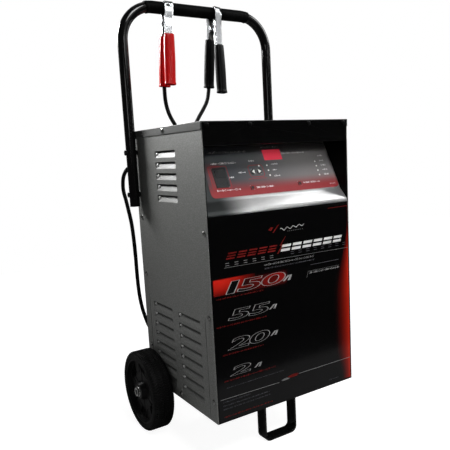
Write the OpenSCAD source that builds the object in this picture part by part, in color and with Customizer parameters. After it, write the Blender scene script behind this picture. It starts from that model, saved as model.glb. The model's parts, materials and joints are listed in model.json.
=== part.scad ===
// Wheeled battery charger: sheet-metal cabinet on two wheels and a front foot,
// with a tube handle that carries the two output clamps.
// +Z is up, the control panel faces -Y, the floor is z = 0.

/* [Cabinet] */
// Width over the side panels
cab_w = 346; // [336:2:356]
// Depth, front panel to rear panel
cab_d = 297; // [289:1:304]
// Height of the cabinet
cab_h = 560; // [550:2:570]
// Height of the cabinet's underside above the floor
cab_lift = 96; // [93:0.5:99]
// Sheet thickness
sheet = 1.5; // [1.2:0.1:1.8]

/* [Wheels] */
// Radius of the tyre
wheel_r = 88; // [85:0.5:91]
// Width of the tyre
wheel_w = 48; // [44:1:50]
// Distance of the axle in front of the rear panel
axle_inset = 40; // [37.5:0.5:43.5]
// Diameter of the axle
axle_d = 12.7; // [12:0.1:13]

/* [Handle] */
// Diameter of the handle tube
tube_d = 22; // [21:0.5:23]
// Centre-line radius of the two bends
bend_r = 75; // [70:1:80]
// Height of the cross bar's centre above the cabinet's underside
bar_h = 821; // [805:1:835]
// Diameter of the ribbed grip
grip_d = 26; // [25.6:0.1:26.2]

/* [Control panel] */
// Lean of the control panel from vertical, in degrees
panel_lean = 26.3; // [25:0.1:27]
// Travel of a push button
button_travel = 1; // [0.6:0.1:1.2]

/* [Leads] */
// Diameter of an output lead
lead_d = 9; // [8:0.5:10]

/* [Hidden] */

$fn = 48;
eps = 0.01;
half_w = cab_w / 2;
half_d = cab_d / 2;
inner_x = half_w - sheet;
flange_x = inner_x - sheet;
screw_head_h = 2;
screw_head_r = 4.8;
screw_hole_d = 4.3;
bolt_hole_d = 6.6;
axle_y = half_d - axle_inset;
// The origin is the middle of the whole object's footprint
cab_y = (half_d + screw_head_h - axle_y - wheel_r) / 2;
flange_w = 26;
crease_w = 1.4;
crease_top = 197;
top_flange_h = 14.5;
top_z = cab_h - sheet;
pan_t = 2;
pan_flange_h = 20;

// Louvers, listed as [middle y, slot z] on the side panel
louver_len = 90;
louver_h = 13;
louver_depth = 6;
louver_pitch = 22;
louver_spots = concat(
  [for (i = [0:4]) [0.5, 514 - louver_pitch * i]],
  [for (y = [-57.5, 58], i = [0:7]) [y, 190.5 - louver_pitch * i]]
);

// Screws, listed as positions on their own panels
front_edge_screws = [for (z = [42, 206, 362]) [-half_d + 11.5, z]];
rear_edge_screws = [for (z = [85, 249, 375]) [half_d - 16, z]];
pan_screw = [-3.5, 13.5];
cover_screw = [0.5, top_z - 6];
front_screw_spots = [for (x = [-162, -70, 70, 162]) [x, 553]];
rear_screw_spots = [for (x = [-160, 160], z = [85, 249, 410, 540]) [x, z]];

// Rear panel: heights of the lead holes, the mains gland and the breaker
lead_x = 156;
lead_z = 580.5 - cab_lift;
gland_z = 60;
breaker_z = 170;

// Control panel outline: a straight slope, then a lip that rolls to vertical
panel_top_y = -81;
panel_top_z = 517;
slope_len = 107;
lip_lean = 43.3;
lip_in_r = 25;
lip_len = 19.1;
lip_out_r = 14;
lip_end_z = 391.2;
recess_wall = 1;
cheek_x = flange_x - recess_wall;
panel_half = cheek_x - 0.1;
label_t = 0.5;
label_left = -146;
label_right = panel_half - 1;

// Display, switch, buttons and lights: [x, distance down the slope]
display_spot = [20.5, 24];
display_size = [45, 23];
rocker_spot = [-115.5, 66];
bezel_size = [29, 40];
rocker_size = [21, 31];
rocker_swing = 22;
arrow_spots = [[-38.5, 58.5], [-23.5, 58.5]];
arrow_r = 5.5;
mode_spots = [[-51.5, 91], [65.5, 91]];
mode_size = [8, 8];
light_r = 1.5;
light_spots = concat(
  [[-20.5, 46.7]],
  [for (i = [0:2]) [-1, 46.7 + 10.8 * i]],
  [for (i = [0:3]) [125, 45 + 10.3 * i]]
);

// Handle
tube_x = half_w + tube_d / 2 + 2;
tube_y = 135;
tube_foot_z = 399;
handle_bolt_z = [515, 425];
grip_half = 131;
grip_straight = tube_x - bend_r;
grip_sweep = asin((grip_half - grip_straight) / bend_r);

// Foot
foot_y = -113.4;
foot_w = 27;
foot_half = 41.4;
foot_t = 4.5;
foot_r = 14;
foot_flange = 30;

// Wheels
wheel_x = half_w + 3;
rim_r = 72;
hub_r = 17;
hub_bore = axle_d + 0.1;
window_in = 42;
window_out = 63;

// Clamps: [pivot x, lean towards -X, turn about the vertical, handle spread]
red_clamp = [-80.5, 3.2, -7, 18.5];
black_clamp = [40, 2.5, 13, 21];
pivot_drop = 34;
clamp_w = 19;
clamp_t = 1.5;
clamp_gap = 0.2;
front_half_w = clamp_w;
rear_half_w = clamp_w - 2 * clamp_t - 2 * clamp_gap;
pin_r = 2;
handle_len = 130;
sleeve_size = [25, 18];
sleeve_len = 108;

// Output leads: route of each centre line, from the rear panel to its clamp
black_route = [
  [-156, 125.5, 580.5], [-156, 145, 580.5], [-156, 163, 580.5], [-157, 184, 580.5],
  [-159, 198.5, 577.6], [-162, 210.9, 569.4], [-165, 219.1, 557], [-166.5, 222, 542.5],
  [-167, 221, 524.5], [-166, 213.5, 504.5], [-166, 203, 481.5], [-164.5, 194, 449],
  [-164, 189, 412], [-163, 188.5, 370], [-162, 190.5, 328], [-160, 192.5, 289.5],
  [-157, 191.5, 255.5], [-151, 186.5, 220.5], [-142, 181.5, 192.5], [-128, 176.5, 173.5],
  [-110, 171.5, 167.5], [-92, 166.5, 178.5], [-80, 163.5, 203.5], [-73, 160.5, 236],
  [-70, 157.5, 272], [-69, 154.5, 312], [-68, 151, 355], [-66.5, 148, 400], [-65.5, 145, 445],
  [-63.5, 143, 490.5], [-59.5, 141, 535.5], [-52.5, 140, 575.5], [-42.5, 139, 610.5],
  [-29.5, 138, 638.5], [-14.5, 137, 662.5], [0.5, 136, 686.5], [13, 135, 704.5],
  [23, 133.5, 722.5], [28, 133, 740.5], [30, 132.5, 754.5]
];
red_route = [
  [156, 125.5, 580.5], [156, 145, 580.5], [156, 163, 580.5], [157, 182, 578], [158, 198, 569],
  [159, 209, 554], [159.5, 214, 534], [159.5, 215, 512], [158.5, 211, 482.5],
  [157.5, 206, 448.5], [156.5, 201, 410], [155.5, 197, 370.5], [152, 192.5, 290.5],
  [148, 190.5, 252.5], [140, 187.5, 220.5], [126, 183.5, 197.5], [107, 179.5, 187.5],
  [88.5, 175.5, 192], [73.5, 171.5, 212], [63.5, 168.5, 243], [57.5, 166.5, 278],
  [54.5, 164.5, 315], [52, 163.5, 352], [49, 162.5, 388], [45, 161.5, 422], [39, 160.5, 456],
  [31, 159.5, 488.5], [22, 158.5, 517.5], [12, 157.5, 545.5], [1, 156, 571.5],
  [-10.5, 154, 595.5], [-23.5, 152, 617.5], [-36.5, 149, 637.5], [-49.5, 145, 655.5],
  [-61.5, 141, 671.5], [-73.5, 137, 688.5], [-80.5, 135, 704.5], [-84.5, 133.5, 720.5],
  [-86.2, 132.2, 736.5], [-86.7, 131, 754.5]
];
lead_sides = 10;
relief_len = 35;
relief_neck_r = 7;
gland_neck_r = 8;

// Fan
fan_z = 300;
fan_size = 120;
fan_t = 25;
rotor_r = 54;

// ---- helpers -------------------------------------------------------------

module cab() {
  translate([0, cab_y, cab_lift]) children();
}

// Puts +X outwards on the right side, mirrored on the left
module at_side(side) {
  if (side > 0) children();
  else mirror([1, 0, 0]) children();
}

// Frame on the control panel: local Y is up the slope, local Z is outwards
module on_slope(spot) {
  cab()
    translate([0, panel_top_y, panel_top_z])
      rotate([90 - panel_lean, 0, 0])
        translate([spot[0], -spot[1], 0]) children();
}

module block(low, high) {
  translate(low) cube(high - low);
}

module rounded_rect(size, r) {
  square([size[0] - 2 * r, size[1]], center = true);
  square([size[0], size[1] - 2 * r], center = true);
  for (x = [-1, 1], y = [-1, 1])
    translate([x * (size[0] / 2 - r), y * (size[1] / 2 - r)]) circle(r = r);
}

// Points of an arc in the panel outline, from one lean angle to another
function lip_arc(start, r, lean0, lean1, n) =
  let (turn = lean1 > lean0 ? 1 : -1)
  [for (i = [1:n])
    let (a = lean0 + (lean1 - lean0) * i / n)
    start + turn * r * [cos(a) - cos(lean0), sin(lean0) - sin(a)]];

// Outline of one face of the control panel sheet, moved inwards by d
function panel_line(d) =
  let (
    dir0 = [-sin(panel_lean), -cos(panel_lean)],
    in0 = [cos(panel_lean), -sin(panel_lean)],
    dir1 = [-sin(lip_lean), -cos(lip_lean)],
    p0 = [panel_top_y, panel_top_z] + d * in0,
    p1 = p0 + slope_len * dir0,
    bend_in = lip_arc(p1, lip_in_r + d, panel_lean, lip_lean, 5),
    p2 = bend_in[4] + lip_len * dir1,
    bend_out = lip_arc(p2, lip_out_r - d, lip_lean, 0, 7),
    p3 = [bend_out[6][0], lip_end_z]
  )
  concat([p0, p1], bend_in, [p2], bend_out, [p3]);

function reversed(list) = [for (i = [len(list) - 1:-1:0]) list[i]];

// Unit vector
function unit(v) = v / norm(v);

// Directions of a route at each of its points
function headings(route) = [
  for (i = [0:len(route) - 1])
    unit(route[min(i + 1, len(route) - 1)] - route[max(i - 1, 0)])
];

// Carries a sideways vector along a route without twist
function carry(dirs, i, v) =
  i >= len(dirs) ? [] :
  let (s = unit(v - (v * dirs[i]) * dirs[i]))
  concat([s], carry(dirs, i + 1, s));

// Round tube along a route, as one closed skin
module swept_tube(route, r, sides) {
  dirs = headings(route);
  sideways = carry(dirs, 0, abs(dirs[0][2]) < 0.7 ? [0, 0, 1] : [1, 0, 0]);
  n = len(route);
  points = [
    for (i = [0:n - 1], k = [0:sides - 1])
      let (a = 360 * k / sides)
      route[i] + r * (cos(a) * sideways[i] + sin(a) * cross(dirs[i], sideways[i]))
  ];
  walls = [
    for (i = [0:n - 2], k = [0:sides - 1])
      let (k2 = (k + 1) % sides)
      [i * sides + k, (i + 1) * sides + k, (i + 1) * sides + k2, i * sides + k2]
  ];
  near_end = [for (k = [0:sides - 1]) k];
  far_end = [for (k = [sides - 1:-1:0]) (n - 1) * sides + k];
  polyhedron(points, concat(walls, [near_end], [far_end]), convexity = 8);
}

// ---- cabinet -------------------------------------------------------------

// One pressed louver: a flap that leans inwards from its lower edge, with closed ends
module louver_flap() {
  t = 1.2;
  profile = [
    [0, -louver_h], [0, -louver_h - 1], [-sheet, -louver_h - 1],
    [-louver_depth, -1], [-louver_depth + t, -1]
  ];
  translate([half_w, louver_len / 2, 0])
    rotate([90, 0, 0]) linear_extrude(louver_len) polygon(profile);
  cheek = [[0, 0], [0, -louver_h], [-louver_depth + 0.5, -1], [-louver_depth + 0.5, 0]];
  for (y = [-louver_len / 2 + t, louver_len / 2])
    translate([half_w, y, 0])
      rotate([90, 0, 0]) linear_extrude(t) polygon(cheek);
}

module side_panel(side) {
  color("gray") cab() at_side(side) {
    difference() {
      block([inner_x, -half_d, 0], [half_w, half_d, top_z]);
      for (s = louver_spots)
        block([inner_x - 1, s[0] - louver_len / 2, s[1] - louver_h],
              [half_w + 1, s[0] + louver_len / 2, s[1]]);
      for (s = concat(front_edge_screws, rear_edge_screws, [pan_screw, cover_screw])) side_screw_hole(s);
      for (z = handle_bolt_z)
        translate([inner_x - 1, tube_y, z]) rotate([0, 90, 0]) cylinder(d = bolt_hole_d, h = 4);
      // Creases where the flanges of the front and rear panels end behind the sheet
      for (y = [-half_d + flange_w, half_d - flange_w - crease_w])
        block([half_w - 0.4, y, 5], [half_w + 1, y + crease_w, crease_top]);
    }
    for (s = louver_spots) translate([0, s[0], s[1]]) louver_flap();
  }
}

module side_screw_hole(spot) {
  translate([inner_x - 4, spot[0], spot[1]])
    rotate([0, 90, 0]) cylinder(d = screw_hole_d, h = 8, $fn = 24);
}

module left_side_panel() { side_panel(-1); }
module right_side_panel() { side_panel(1); }

module top_cover() {
  color("gray") cab() difference() {
    union() {
      block([-half_w - sheet, -half_d, top_z], [half_w + sheet, half_d, cab_h]);
      for (side = [-1, 1]) at_side(side)
        block([half_w, -half_d, top_z - top_flange_h + sheet], [half_w + sheet, half_d, cab_h]);
    }
    for (side = [-1, 1]) at_side(side) side_screw_hole(cover_screw);
  }
}

module front_panel() {
  color([0.05, 0.05, 0.05]) cab() difference() {
    union() {
      block([-inner_x, -half_d, 0], [inner_x, -half_d + sheet, top_z]);
      for (side = [-1, 1]) at_side(side)
        block([flange_x, -half_d, 0], [inner_x, -half_d + flange_w, top_z]);
    }
    block([-flange_x, -half_d - 1, lip_end_z - 0.2], [flange_x, -half_d + sheet + 1, panel_top_z]);
    for (s = front_screw_spots)
      translate([s[0], -half_d - 1, s[1]])
        rotate([-90, 0, 0]) cylinder(d = screw_hole_d, h = 4, $fn = 24);
    for (side = [-1, 1], s = front_edge_screws) at_side(side) side_screw_hole(s);
  }
}

// Black box around the control panel: two cheeks and a ceiling
module recess_liner() {
  outline = concat(
    [[-half_d + sheet, panel_top_z], [-half_d + sheet, lip_end_z]],
    [[-half_d + sheet + 6, lip_end_z]],
    reversed([for (p = panel_line(sheet)) if (p[1] > 398) p + [4, 0]]),
    [[panel_top_y + 6, panel_top_z]]
  );
  color([0.04, 0.04, 0.04]) cab() {
    for (side = [-1, 1]) at_side(side)
      translate([cheek_x, 0, 0]) rotate([90, 0, 90]) linear_extrude(recess_wall) polygon(outline);
    block([-cheek_x - recess_wall, -half_d + sheet, panel_top_z],
          [cheek_x + recess_wall, panel_top_y + 6, panel_top_z + 1.2]);
  }
}

module control_panel() {
  outline = concat(panel_line(0), reversed(panel_line(sheet)));
  color("silver") difference() {
    cab() translate([-panel_half, 0, 0])
      rotate([90, 0, 90]) linear_extrude(2 * panel_half)
        intersection() {
          polygon(outline);
          translate([-200, 0]) square([200, panel_top_z]);
        }
    panel_cutouts(0);
  }
}

// Holes for the display, the switch, the buttons and the lights
module panel_cutouts(extra) {
  on_slope(display_spot) cube([display_size[0] + extra, display_size[1] + extra, 12], center = true);
  on_slope(rocker_spot)
    cube([bezel_size[0] - 4 + 2 * extra, bezel_size[1] - 4 + 2 * extra, 12], center = true);
  for (s = arrow_spots)
    on_slope(s) translate([0, 0, -6]) cylinder(r = arrow_r + 0.3 + extra, h = 12);
  for (s = mode_spots)
    on_slope(s) cube([mode_size[0] + 0.6 + extra, mode_size[1] + 0.6 + extra, 12], center = true);
  for (s = light_spots)
    on_slope(s) translate([0, 0, -6]) cylinder(r = light_r + 0.05 + extra, h = 12, $fn = 24);
}

module control_label() {
  color([0.2, 0.2, 0.21]) difference() {
    on_slope([(label_right + label_left) / 2, 0])
      translate([0, 0, eps]) linear_extrude(label_t - eps)
        cup_outline((label_right - label_left) / 2, -slope_len + 1, -1.5, 9);
    panel_cutouts(0.1);
    on_slope(rocker_spot) cube([bezel_size[0] + 0.4, bezel_size[1] + 0.4, 4], center = true);
  }
}

module front_label() {
  color([0.03, 0.03, 0.03]) cab()
    block([-half_w + 4, -half_d - label_t, 4], [half_w - 4, -half_d, lip_end_z - 3]);
}

module display_window() {
  color("darkred") on_slope(display_spot)
    translate([0, 0, -0.75])
      cube([display_size[0] - 0.2, display_size[1] - 0.2, 2.3], center = true);
}

module rocker_bezel() {
  outer = bezel_size;
  color([0.06, 0.06, 0.06]) on_slope(rocker_spot) difference() {
    union() {
      translate([0, 0, eps]) linear_extrude(2 - eps) rounded_rect(outer, 2.5);
      translate([0, 0, -14]) linear_extrude(15)
        square([outer[0] - 4.4, outer[1] - 4.4], center = true);
    }
    translate([0, 0, -12]) linear_extrude(16) square(rocker_size + [0.8, 0.8], center = true);
    translate([0, 0, -3]) rotate([0, 90, 0]) cylinder(r = 1.56, h = rocker_size[0] + 4, center = true);
  }
}

// Rocker paddle: two faces that meet over its own pivot pin
module rocker_switch() {
  half_l = rocker_size[1] / 2;
  lean = rocker_swing / 2;
  color([0.1, 0.1, 0.1]) on_slope(rocker_spot)
    translate([0, 0, -3]) rotate([lean, 0, 0]) {
      rotate([90, 0, 90])
        translate([0, 0, -rocker_size[0] / 2]) linear_extrude(rocker_size[0])
          polygon([
            [-half_l * cos(lean) + 0.6, 7.2], [0, 4.6], [half_l * cos(lean) - 0.6, 7.2],
            [half_l * cos(lean) - 2.4, -2], [0, -4], [-half_l * cos(lean) + 2.4, -2]
          ]);
      rotate([0, 90, 0]) cylinder(r = 1.5, h = rocker_size[0] + 3.4, center = true);
    }
}

module round_button(spot) {
  color([0.05, 0.05, 0.05]) on_slope(spot) {
    translate([0, 0, -5]) cylinder(r = arrow_r, h = 5 + label_t + 1.4);
    translate([0, 0, -6]) cylinder(r = arrow_r + 1.4, h = 1.2);
  }
}

module square_button(spot) {
  color([0.07, 0.05, 0.05]) on_slope(spot) {
    translate([0, 0, -5]) linear_extrude(5 + label_t + 1.2) rounded_rect(mode_size, 1.2);
    translate([0, 0, -6]) linear_extrude(1.2) square(mode_size + [2.4, 2.4], center = true);
  }
}

module arrow_button_left() { round_button(arrow_spots[0]); }
module arrow_button_right() { round_button(arrow_spots[1]); }
module battery_type_button() { square_button(mode_spots[0]); }
module display_mode_button() { square_button(mode_spots[1]); }

module indicator_lights() {
  color("white") for (s = light_spots) on_slope(s) {
    translate([0, 0, -5]) cylinder(r = light_r, h = 5 + label_t + 0.5, $fn = 24);
    translate([0, 0, -6.5]) cylinder(r = light_r + 0.6, h = 2, $fn = 24);
  }
}

module rear_panel() {
  color([0.35, 0.35, 0.35]) cab() difference() {
    union() {
      block([-inner_x, half_d - sheet, 0], [inner_x, half_d, top_z]);
      for (side = [-1, 1]) at_side(side)
        block([flange_x, half_d - flange_w, 0], [inner_x, half_d, top_z]);
    }
    for (s = rear_screw_spots)
      translate([s[0], half_d + 1, s[1]])
        rotate([90, 0, 0]) cylinder(d = screw_hole_d, h = 4, $fn = 24);
    for (side = [-1, 1], s = rear_edge_screws) at_side(side) side_screw_hole(s);
    for (side = [-1, 1], z = handle_bolt_z) at_side(side)
      translate([flange_x - 2, tube_y, z]) rotate([0, 90, 0]) cylinder(d = bolt_hole_d, h = 6);
    // Lead and mains holes
    for (x = [-lead_x, lead_x])
      translate([x, half_d + 1, lead_z]) rotate([90, 0, 0]) cylinder(r = relief_neck_r + 0.1, h = 4);
    translate([0, half_d + 1, gland_z]) rotate([90, 0, 0]) cylinder(r = gland_neck_r + 0.1, h = 4);
    // Fan grille slots and an upper vent
    for (i = [-4:4])
      translate([0, half_d, fan_z + i * 11])
        cube([2 * sqrt(52 * 52 - pow(i * 11, 2)), 4, 5], center = true);
    for (i = [0:3]) translate([0, half_d, 480 + i * 14]) cube([130, 4, 5], center = true);
    translate([0, half_d, breaker_z]) cube([25, 4, 14.5], center = true);
  }
}

module base_pan() {
  color([0.3, 0.3, 0.3]) cab() difference() {
    union() {
      block([-flange_x, -half_d + sheet, 0], [flange_x, half_d - sheet, pan_t]);
      for (side = [-1, 1]) at_side(side)
        block([flange_x, -half_d + flange_w + 2, 0], [inner_x, half_d - flange_w - 2, pan_flange_h]);
    }
    for (side = [-1, 1]) at_side(side) side_screw_hole(pan_screw);
    for (s = concat(foot_bolt_spots(), saddle_bolt_spots(), core_bolt_spots()))
      translate([s[0], s[1], -1]) cylinder(d = bolt_hole_d, h = pan_t + 2);
  }
}

// Pan-head screw along +Z, its head's underside at z = 0
module sheet_screw() {
  difference() {
    union() {
      cylinder(r = screw_head_r, h = 0.9);
      translate([0, 0, 0.9 - eps]) cylinder(r1 = screw_head_r, r2 = 3, h = screw_head_h - 0.9 + eps);
    }
    for (a = [0, 90]) rotate([0, 0, a]) translate([0, 0, screw_head_h]) cube([5, 1.1, 2], center = true);
  }
  translate([0, 0, -7]) cylinder(r = 2, h = 7 + eps, $fn = 24);
}

module cabinet_screws() {
  color([0.2, 0.2, 0.2]) cab() {
    for (side = [-1, 1]) at_side(side) {
      for (s = concat(front_edge_screws, rear_edge_screws, [pan_screw]))
        translate([half_w, s[0], s[1]]) rotate([0, 90, 0]) sheet_screw();
      translate([half_w + sheet, cover_screw[0], cover_screw[1]]) rotate([0, 90, 0]) sheet_screw();
    }
    for (s = rear_screw_spots) translate([s[0], half_d, s[1]]) rotate([-90, 0, 0]) sheet_screw();
  }
}

module front_screws() {
  color([0.05, 0.05, 0.05]) cab() for (s = front_screw_spots)
    translate([s[0], -half_d, s[1]]) rotate([90, 0, 0]) sheet_screw();
}

// ---- handle --------------------------------------------------------------

// The U of the handle as a solid bar of radius r
module handle_path(r, foot_z, sweep) {
  for (side = [-1, 1]) at_side(side) {
    if (foot_z > 0)
      translate([tube_x, tube_y, foot_z]) cylinder(r = r, h = bar_h - bend_r - foot_z);
    translate([tube_x - bend_r, tube_y, bar_h - bend_r])
      rotate([90, 0, 0]) rotate([0, 0, 90 - sweep])
        rotate_extrude(angle = sweep) translate([bend_r, 0]) circle(r = r);
  }
  translate([0, tube_y, bar_h])
    rotate([0, 90, 0]) cylinder(r = r, h = 2 * grip_straight, center = true);
}

module handle_tube() {
  color([0.05, 0.05, 0.05]) cab() difference() {
    handle_path(tube_d / 2, tube_foot_z, 90);
    for (side = [-1, 1]) at_side(side) {
      translate([tube_x, tube_y, tube_foot_z - 1]) cylinder(d = tube_d - 4, h = 180);
      for (z = handle_bolt_z)
        translate([tube_x - 20, tube_y, z]) rotate([0, 90, 0]) cylinder(d = bolt_hole_d, h = 40);
    }
  }
}

module handle_grip() {
  color([0.08, 0.08, 0.08]) cab() difference() {
    handle_path(grip_d / 2, 0, grip_sweep);
    handle_path(tube_d / 2 + 0.02, 0, 90);
  }
}

// Round-head bolts through the tube, a spacer and the side panel, with nuts inside
module handle_bolts() {
  tip_x = flange_x - 10.5;
  head_x = tube_x + tube_d / 2 - 0.6;
  color([0.15, 0.15, 0.15]) cab()
    for (side = [-1, 1], z = handle_bolt_z) at_side(side) translate([0, tube_y, z]) {
      translate([tip_x, 0, 0]) rotate([0, 90, 0]) cylinder(r = 3, h = head_x + 1 - tip_x, $fn = 24);
      translate([flange_x - 5, 0, 0]) rotate([0, 90, 0]) cylinder(r = 5.5, h = 5, $fn = 6);
      // Head and spacer, both saddled to the tube
      difference() {
        union() {
          translate([head_x, 0, 0]) rotate([0, 90, 0]) cylinder(r = 5.5, h = 3.8);
          translate([half_w, 0, 0]) rotate([0, 90, 0]) cylinder(r = 6, h = 4);
        }
        translate([tube_x, 0, -20]) cylinder(d = tube_d + 0.04, h = 40);
      }
    }
}

// ---- foot, axle and wheels -----------------------------------------------

function foot_bolt_spots() = [
  for (x = [-1, 1], y = [6, foot_w - 6]) [x * (foot_half + foot_flange / 2 + 3), foot_y + y]
];

// Outline of a U filled in: flat top, rounded bottom corners
module cup_outline(half, bottom, top, r) {
  translate([-half, bottom + r]) square([2 * half, top - bottom - r]);
  translate([-half + r, bottom]) square([2 * (half - r), r + eps]);
  for (x = [-1, 1]) translate([x * (half - r), bottom + r]) circle(r = r);
}

// Steel strap bent into a U, with a flange outwards at the top of each leg
module foot_strap() {
  flange_len = foot_flange + foot_t;
  color([0.05, 0.05, 0.05]) cab() difference() {
    translate([0, foot_y + foot_w, 0]) rotate([90, 0, 0]) linear_extrude(foot_w) {
      difference() {
        cup_outline(foot_half, -cab_lift, 0, foot_r);
        cup_outline(foot_half - foot_t, -cab_lift + foot_t, 1, foot_r - foot_t);
      }
      for (x = [-1, 1])
        translate([x * (foot_half - foot_t + flange_len / 2), -foot_t / 2])
          square([flange_len, foot_t], center = true);
    }
    for (s = foot_bolt_spots())
      translate([s[0], s[1], -foot_t - 1]) cylinder(d = bolt_hole_d, h = foot_t + 2);
  }
}

// Hex-head bolt pointing up, its head's top at z = 0
module pan_bolt(grip) {
  translate([0, 0, -4]) cylinder(r = 5.5, h = 4, $fn = 6);
  translate([0, 0, -eps]) cylinder(r = 3, h = grip + 9, $fn = 24);
  translate([0, 0, grip]) cylinder(r = 5.5, h = 5, $fn = 6);
}

module foot_bolts() {
  color([0.2, 0.2, 0.2]) cab()
    for (s = foot_bolt_spots()) translate([s[0], s[1], -foot_t]) pan_bolt(foot_t + pan_t);
}

saddle_xs = [-130, 130];
saddle_t = 3;
function saddle_bolt_spots() = [for (x = saddle_xs, y = [-20, 20]) [x, axle_y + y]];

module axle() {
  color("silver") translate([0, cab_y + axle_y, wheel_r])
    rotate([0, 90, 0]) cylinder(d = axle_d, h = 2 * (wheel_x + wheel_w + 4), center = true);
}

// Straps that hold the axle up against the base pan
module axle_saddles() {
  drop = cab_lift - wheel_r;
  color([0.25, 0.25, 0.25]) cab() difference() {
    for (x = saddle_xs)
      translate([x, axle_y, 0]) rotate([90, 0, 90]) linear_extrude(24, center = true)
        difference() {
          union() {
            translate([0, -drop]) circle(r = axle_d / 2 + saddle_t);
            translate([0, -drop / 2]) square([axle_d + 2 * saddle_t, drop], center = true);
            translate([0, -saddle_t / 2]) square([60, saddle_t], center = true);
          }
          translate([-50, 0]) square([100, 30]);
        }
    translate([0, axle_y, -drop]) rotate([0, 90, 0]) cylinder(d = axle_d + 0.04, h = 600, center = true);
    for (s = saddle_bolt_spots())
      translate([s[0], s[1], -10]) cylinder(d = bolt_hole_d, h = 20);
  }
}

module saddle_bolts() {
  color([0.2, 0.2, 0.2]) cab()
    for (s = saddle_bolt_spots()) translate([s[0], s[1], -saddle_t]) pan_bolt(saddle_t + pan_t);
}

// A wheel's pieces, drawn about +Z with the outer face up; z = 0 is the inner face
module tyre(side) {
  shoulder = 6;
  groove = 1.6;
  color([0.05, 0.05, 0.05]) wheel_frame(side)
    rotate_extrude($fn = 96) polygon([
      [rim_r, 3], [wheel_r - shoulder - 2, 0.5], [wheel_r - 2.5, 3], [wheel_r, shoulder],
      [wheel_r, 14], [wheel_r - groove, 14.6], [wheel_r - groove, 16.6], [wheel_r, 17.2],
      [wheel_r, wheel_w - 17.2], [wheel_r - groove, wheel_w - 16.6],
      [wheel_r - groove, wheel_w - 14.6], [wheel_r, wheel_w - 14],
      [wheel_r, wheel_w - shoulder], [wheel_r - 2.5, wheel_w - 3],
      [wheel_r - shoulder - 2, wheel_w - 0.5], [rim_r, wheel_w - 3]
    ]);
}

// Outline r outside a convex polygon, with n flats round each corner
function outset_points(corners, r, n) =
  let (count = len(corners))
  [
    for (i = [0:count - 1])
      let (
        back = corners[i] - corners[(i + count - 1) % count],
        ahead = corners[(i + 1) % count] - corners[i],
        a0 = atan2(back[1], back[0]) - 90,
        a1 = atan2(ahead[1], ahead[0]) - 90,
        turn = a1 < a0 ? a1 - a0 + 360 : a1 - a0
      )
      for (k = [0:n]) corners[i] + r * [cos(a0 + turn * k / n), sin(a0 + turn * k / n)]
  ];

// Moulded rim: a dished disc with rounded windows between its spokes
module rim(side) {
  spokes = 6;
  phase = 4;
  web_in = wheel_w - 20;
  web_out = wheel_w - 12;
  corner = 5;
  in_half = 7;
  out_half = 13.5;
  color([0.07, 0.07, 0.07]) wheel_frame(side) difference() {
    rotate_extrude($fn = 96) polygon([
      [hub_bore / 2, 0], [hub_r, 0], [hub_r + 2, web_in], [rim_r - 7, web_in],
      [rim_r - 6, 4], [rim_r - 0.02, 3], [rim_r - 0.02, wheel_w - 3], [rim_r - 4, wheel_w - 2],
      [rim_r - 6, web_out], [hub_r + 4, web_out], [hub_r, wheel_w - 1], [hub_bore / 2, wheel_w - 1]
    ]);
    for (i = [0:spokes - 1]) rotate([0, 0, 360 / spokes * i + phase])
      translate([0, 0, web_in - 1]) linear_extrude(20)
        polygon(outset_points([
          [window_in + corner, -in_half], [window_out - corner, -out_half],
          [window_out - corner, out_half], [window_in + corner, in_half]
        ], corner, 4));
  }
}

module wheel_frame(side) {
  at_side(side) translate([wheel_x, cab_y + axle_y, wheel_r]) rotate([0, 90, 0]) children();
}

module left_tyre() { tyre(-1); }
module left_rim() { rim(-1); }
module right_tyre() { tyre(1); }
module right_rim() { rim(1); }

// Push-on caps that keep the wheels on, and washers against the cabinet side
module axle_caps() {
  color("silver") for (side = [-1, 1]) {
    wheel_frame(side) translate([0, 0, wheel_w - 0.8]) difference() {
      union() {
        cylinder(r = 11, h = 1.2);
        cylinder(r = 9.5, h = 5.5);
      }
      translate([0, 0, -1]) cylinder(d = axle_d + 0.02, h = 20);
    }
    wheel_frame(side) translate([0, 0, -1.6]) difference() {
      cylinder(r = 12, h = 1.4);
      translate([0, 0, -1]) cylinder(d = axle_d + 0.02, h = 4);
    }
  }
}

// ---- clamps --------------------------------------------------------------

module clamp_frame(c) {
  translate([c[0], cab_y + tube_y, cab_lift + bar_h - pivot_drop])
    rotate([0, c[1], c[2]]) children();
}

// Room for the bar and its grip inside the jaws
module bar_room() {
  cab() translate([0, tube_y, bar_h]) rotate([0, 90, 0]) cylinder(d = grip_d + 0.5, h = 300, center = true);
}

// Side view of one half: jaw above the pivot, handle below; dir is -1 front, 1 rear
function half_outline(spread) = [
  [12.5, 46], [15.5, 41], [17, 34], [16.5, 24], [15.5, 10], [15, -4], [15.5, -18],
  [spread + 1.5, -handle_len + 6], [spread - 1.5, -handle_len + 6],
  [9.5, -18], [9, -8], [0, -6], [0, 6], [9, 8], [9, 20], [8.5, 30], [7, 46]
];

module clamp_half(c, dir, width) {
  spread = c[3];
  difference() {
    clamp_frame(c) mirror([0, dir < 0 ? 1 : 0, 0]) difference() {
      union() {
        rotate([90, 0, 90]) linear_extrude(width, center = true) polygon(half_outline(spread));
        rotate([0, 90, 0]) cylinder(r = 6, h = width, center = true);
      }
      // Channel between the two flanges
      rotate([90, 0, 90]) linear_extrude(width - 2 * clamp_t, center = true) polygon([
        [10.5, 47], [13.8, 40.5], [15.4, 34], [14.9, 24], [13.9, 10], [13.4, -4], [13.9, -18],
        [spread, -handle_len], [-20, -handle_len], [-20, 47]
      ]);
      rotate([0, 90, 0]) cylinder(r = pin_r + 0.05, h = 40, center = true);
    }
    bar_room();
  }
}

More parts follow.
